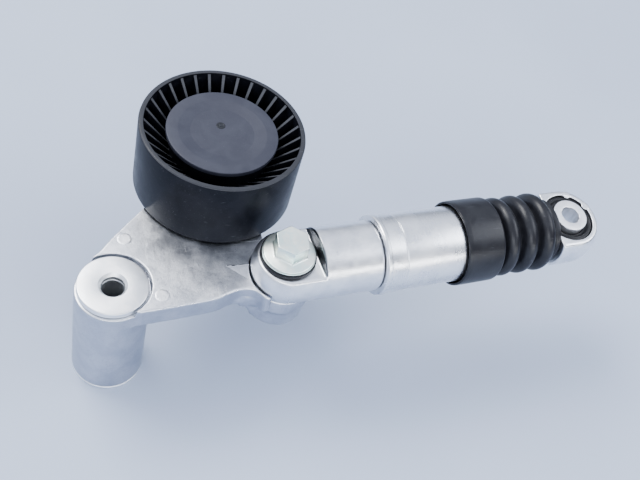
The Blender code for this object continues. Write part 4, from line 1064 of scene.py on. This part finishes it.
def build_stage():
    """Pale floor, soft lights and the camera."""
    bpy.ops.mesh.primitive_grid_add(size=20, x_subdivisions=4, y_subdivisions=4)
    floor = bpy.context.object
    floor.name = "floor"
    floor.data.materials.append(looks["floor"])

    world = bpy.data.worlds.new("studio")
    bpy.context.scene.world = world
    world.use_nodes = True
    nodes, links = world.node_tree.nodes, world.node_tree.links
    sky = nodes["Background"]
    sky.inputs["Color"].default_value = (0.80, 0.86, 1.0, 1)
    direction = nodes.new("ShaderNodeTexCoord")
    slope = nodes.new("ShaderNodeVectorMath")
    slope.operation = "DOT_PRODUCT"
    slope.inputs[1].default_value = (-0.25, 0.1, 0.96)
    ramp = nodes.new("ShaderNodeMapRange")
    for socket, value in zip(tuple(ramp.inputs)[1:5], (-0.05, 0.6, 0.22, 1.15)):
        socket.default_value = value
    links.new(direction.outputs["Generated"], slope.inputs[0])
    links.new(slope.outputs["Value"], ramp.inputs[0])
    links.new(ramp.outputs[0], sky.inputs["Strength"])

    target = Vector((0.08, 0.01, 0.05))
    for name, position, width, height, power, color in (
            ("key_light", (-0.5, 0.75, 1.2), 0.9, 0.63, 16, (1.0, 0.99, 0.97)),
            ("fill_light", (1.1, -0.2, 1.0), 0.9, 0.63, 6, (0.92, 0.95, 1.0)),
            ("front_light", (-0.35, -1.1, 0.8), 0.8, 0.56, 5, (0.95, 0.97, 1.0)),
            ("strip_light", (0.5, -1.2, 0.3), 1.2, 0.144, 5, (1.0, 1.0, 1.0))):
        light = bpy.data.lights.new(name, "AREA")
        light.shape = "RECTANGLE"
        light.size = width
        light.size_y = height
        light.energy = power
        light.color = color
        aim = (target - Vector(position)).to_track_quat("-Z", "Y").to_matrix().to_4x4()
        add_object(name, light, Matrix.Translation(position) @ aim)

    camera = bpy.data.cameras.new("camera")
    camera.lens = 50.54
    camera.sensor_width = 36
    camera.clip_start = 0.01
    ahead = Vector((0.3275, 0.5624, -0.7592))
    right = Vector((0.9427, -0.2489, 0.2223))
    up = Vector((0.0639, 0.7885, 0.6117))
    place = (Matrix.Translation((-0.0381, -0.2062, 0.3557))
             @ Matrix((right, up, -ahead)).transposed().to_4x4())
    bpy.context.scene.camera = add_object("camera", camera, place)
    bpy.context.scene.view_settings.look = "AgX - Medium High Contrast"


# ---- assembly

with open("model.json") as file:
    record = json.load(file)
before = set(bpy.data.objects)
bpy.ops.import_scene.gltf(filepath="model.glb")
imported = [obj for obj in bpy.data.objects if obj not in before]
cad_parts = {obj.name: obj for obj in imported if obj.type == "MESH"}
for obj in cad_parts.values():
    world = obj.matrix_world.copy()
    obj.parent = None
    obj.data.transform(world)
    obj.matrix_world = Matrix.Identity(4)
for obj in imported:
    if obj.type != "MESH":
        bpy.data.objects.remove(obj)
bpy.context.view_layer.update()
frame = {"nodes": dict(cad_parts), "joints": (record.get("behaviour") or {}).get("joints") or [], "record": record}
joints = {joint["name"]: joint for joint in frame["joints"]}

looks = {
    "zinc_plated_steel": bright_steel("zinc_plate_yellowish", (0.84, 0.97, 0.93),
                                      (0.95, 0.985, 0.92), 0.26),
    "bright_steel": bright_steel("zinc_plate_bright", (0.92, 0.94, 0.96), (0.97, 0.98, 0.99), 0.26),
    "bearing_steel": bright_steel("bearing_steel_ground", (0.60, 0.61, 0.63), (0.72, 0.73, 0.75),
                                  0.18),
    "cast_aluminium": cast_aluminium(),
    "milled": milled_aluminium(),
    "milled_wall": milled_aluminium("machined_aluminium_wall_shade", SHOULDER_U),
    "machined_aluminium": machined_aluminium(),
    "sleeve": bright_steel("zinc_plate_white", (0.93, 0.94, 0.96), (0.97, 0.97, 0.98), 0.3),
    "spring_steel": spring_steel(),
    "black_rubber": moulded("rubber_matte", (0.006, 0.006, 0.008), (0.014, 0.014, 0.017), 0.38),
    "bellows_rubber": moulded("rubber_satin", (0.012, 0.012, 0.016), (0.022, 0.023, 0.028), 0.36,
                              2.8, 0.02),
    "pulley_plastic": moulded("nylon_satin", (0.008, 0.009, 0.013), (0.014, 0.015, 0.021), 0.34,
                              3.0, 0.015, (WEB_HIGH + 1, PULLEY_HIGH), Specular_IOR_Level=0.2),
    "cap_plastic": turned_plastic("cap_satin", (0.042, 0.044, 0.062), (0.050, 0.053, 0.072), 0.45),
    "gate": turned_plastic("cap_gate", (0.010, 0.011, 0.016), (0.020, 0.022, 0.028), 0.3),
    "floor": floor_material(),
    "bronze": bronze(),
    "cage_nylon": moulded("nylon_natural", (0.66, 0.62, 0.50), (0.76, 0.72, 0.62), 0.5),
}
paint_nodes()

strut_origin = Vector(joints["strut_swing"]["pos_m"])
strut_axis = Vector(joints["rod_slide"]["axis"])
upward = Vector((0, 0, 1))
strut_place = turned_place(strut_origin, upward, strut_axis)
along_place = turned_place(strut_origin, strut_axis, upward)
eye_place = turned_place(Vector(joints["sleeve_twist"]["pos_m"]), joints["sleeve_twist"]["axis"],
                         strut_axis)
pulley_origin = Vector(joints["pulley_spin"]["pos_m"])
pulley_place = Matrix.Translation((pulley_origin.x, pulley_origin.y, 0))

build_arm(pulley_place, strut_place)
build_pivot()
build_pulley(pulley_place)
build_dust_cap(pulley_place)
build_strut_body(strut_place, along_place)
build_lower_bush(strut_place)
build_strut_bolt()
build_bellows(along_place)
build_main_spring(along_place)
build_upper_eye(eye_place)
build_upper_sleeve(eye_place)
build_stage()
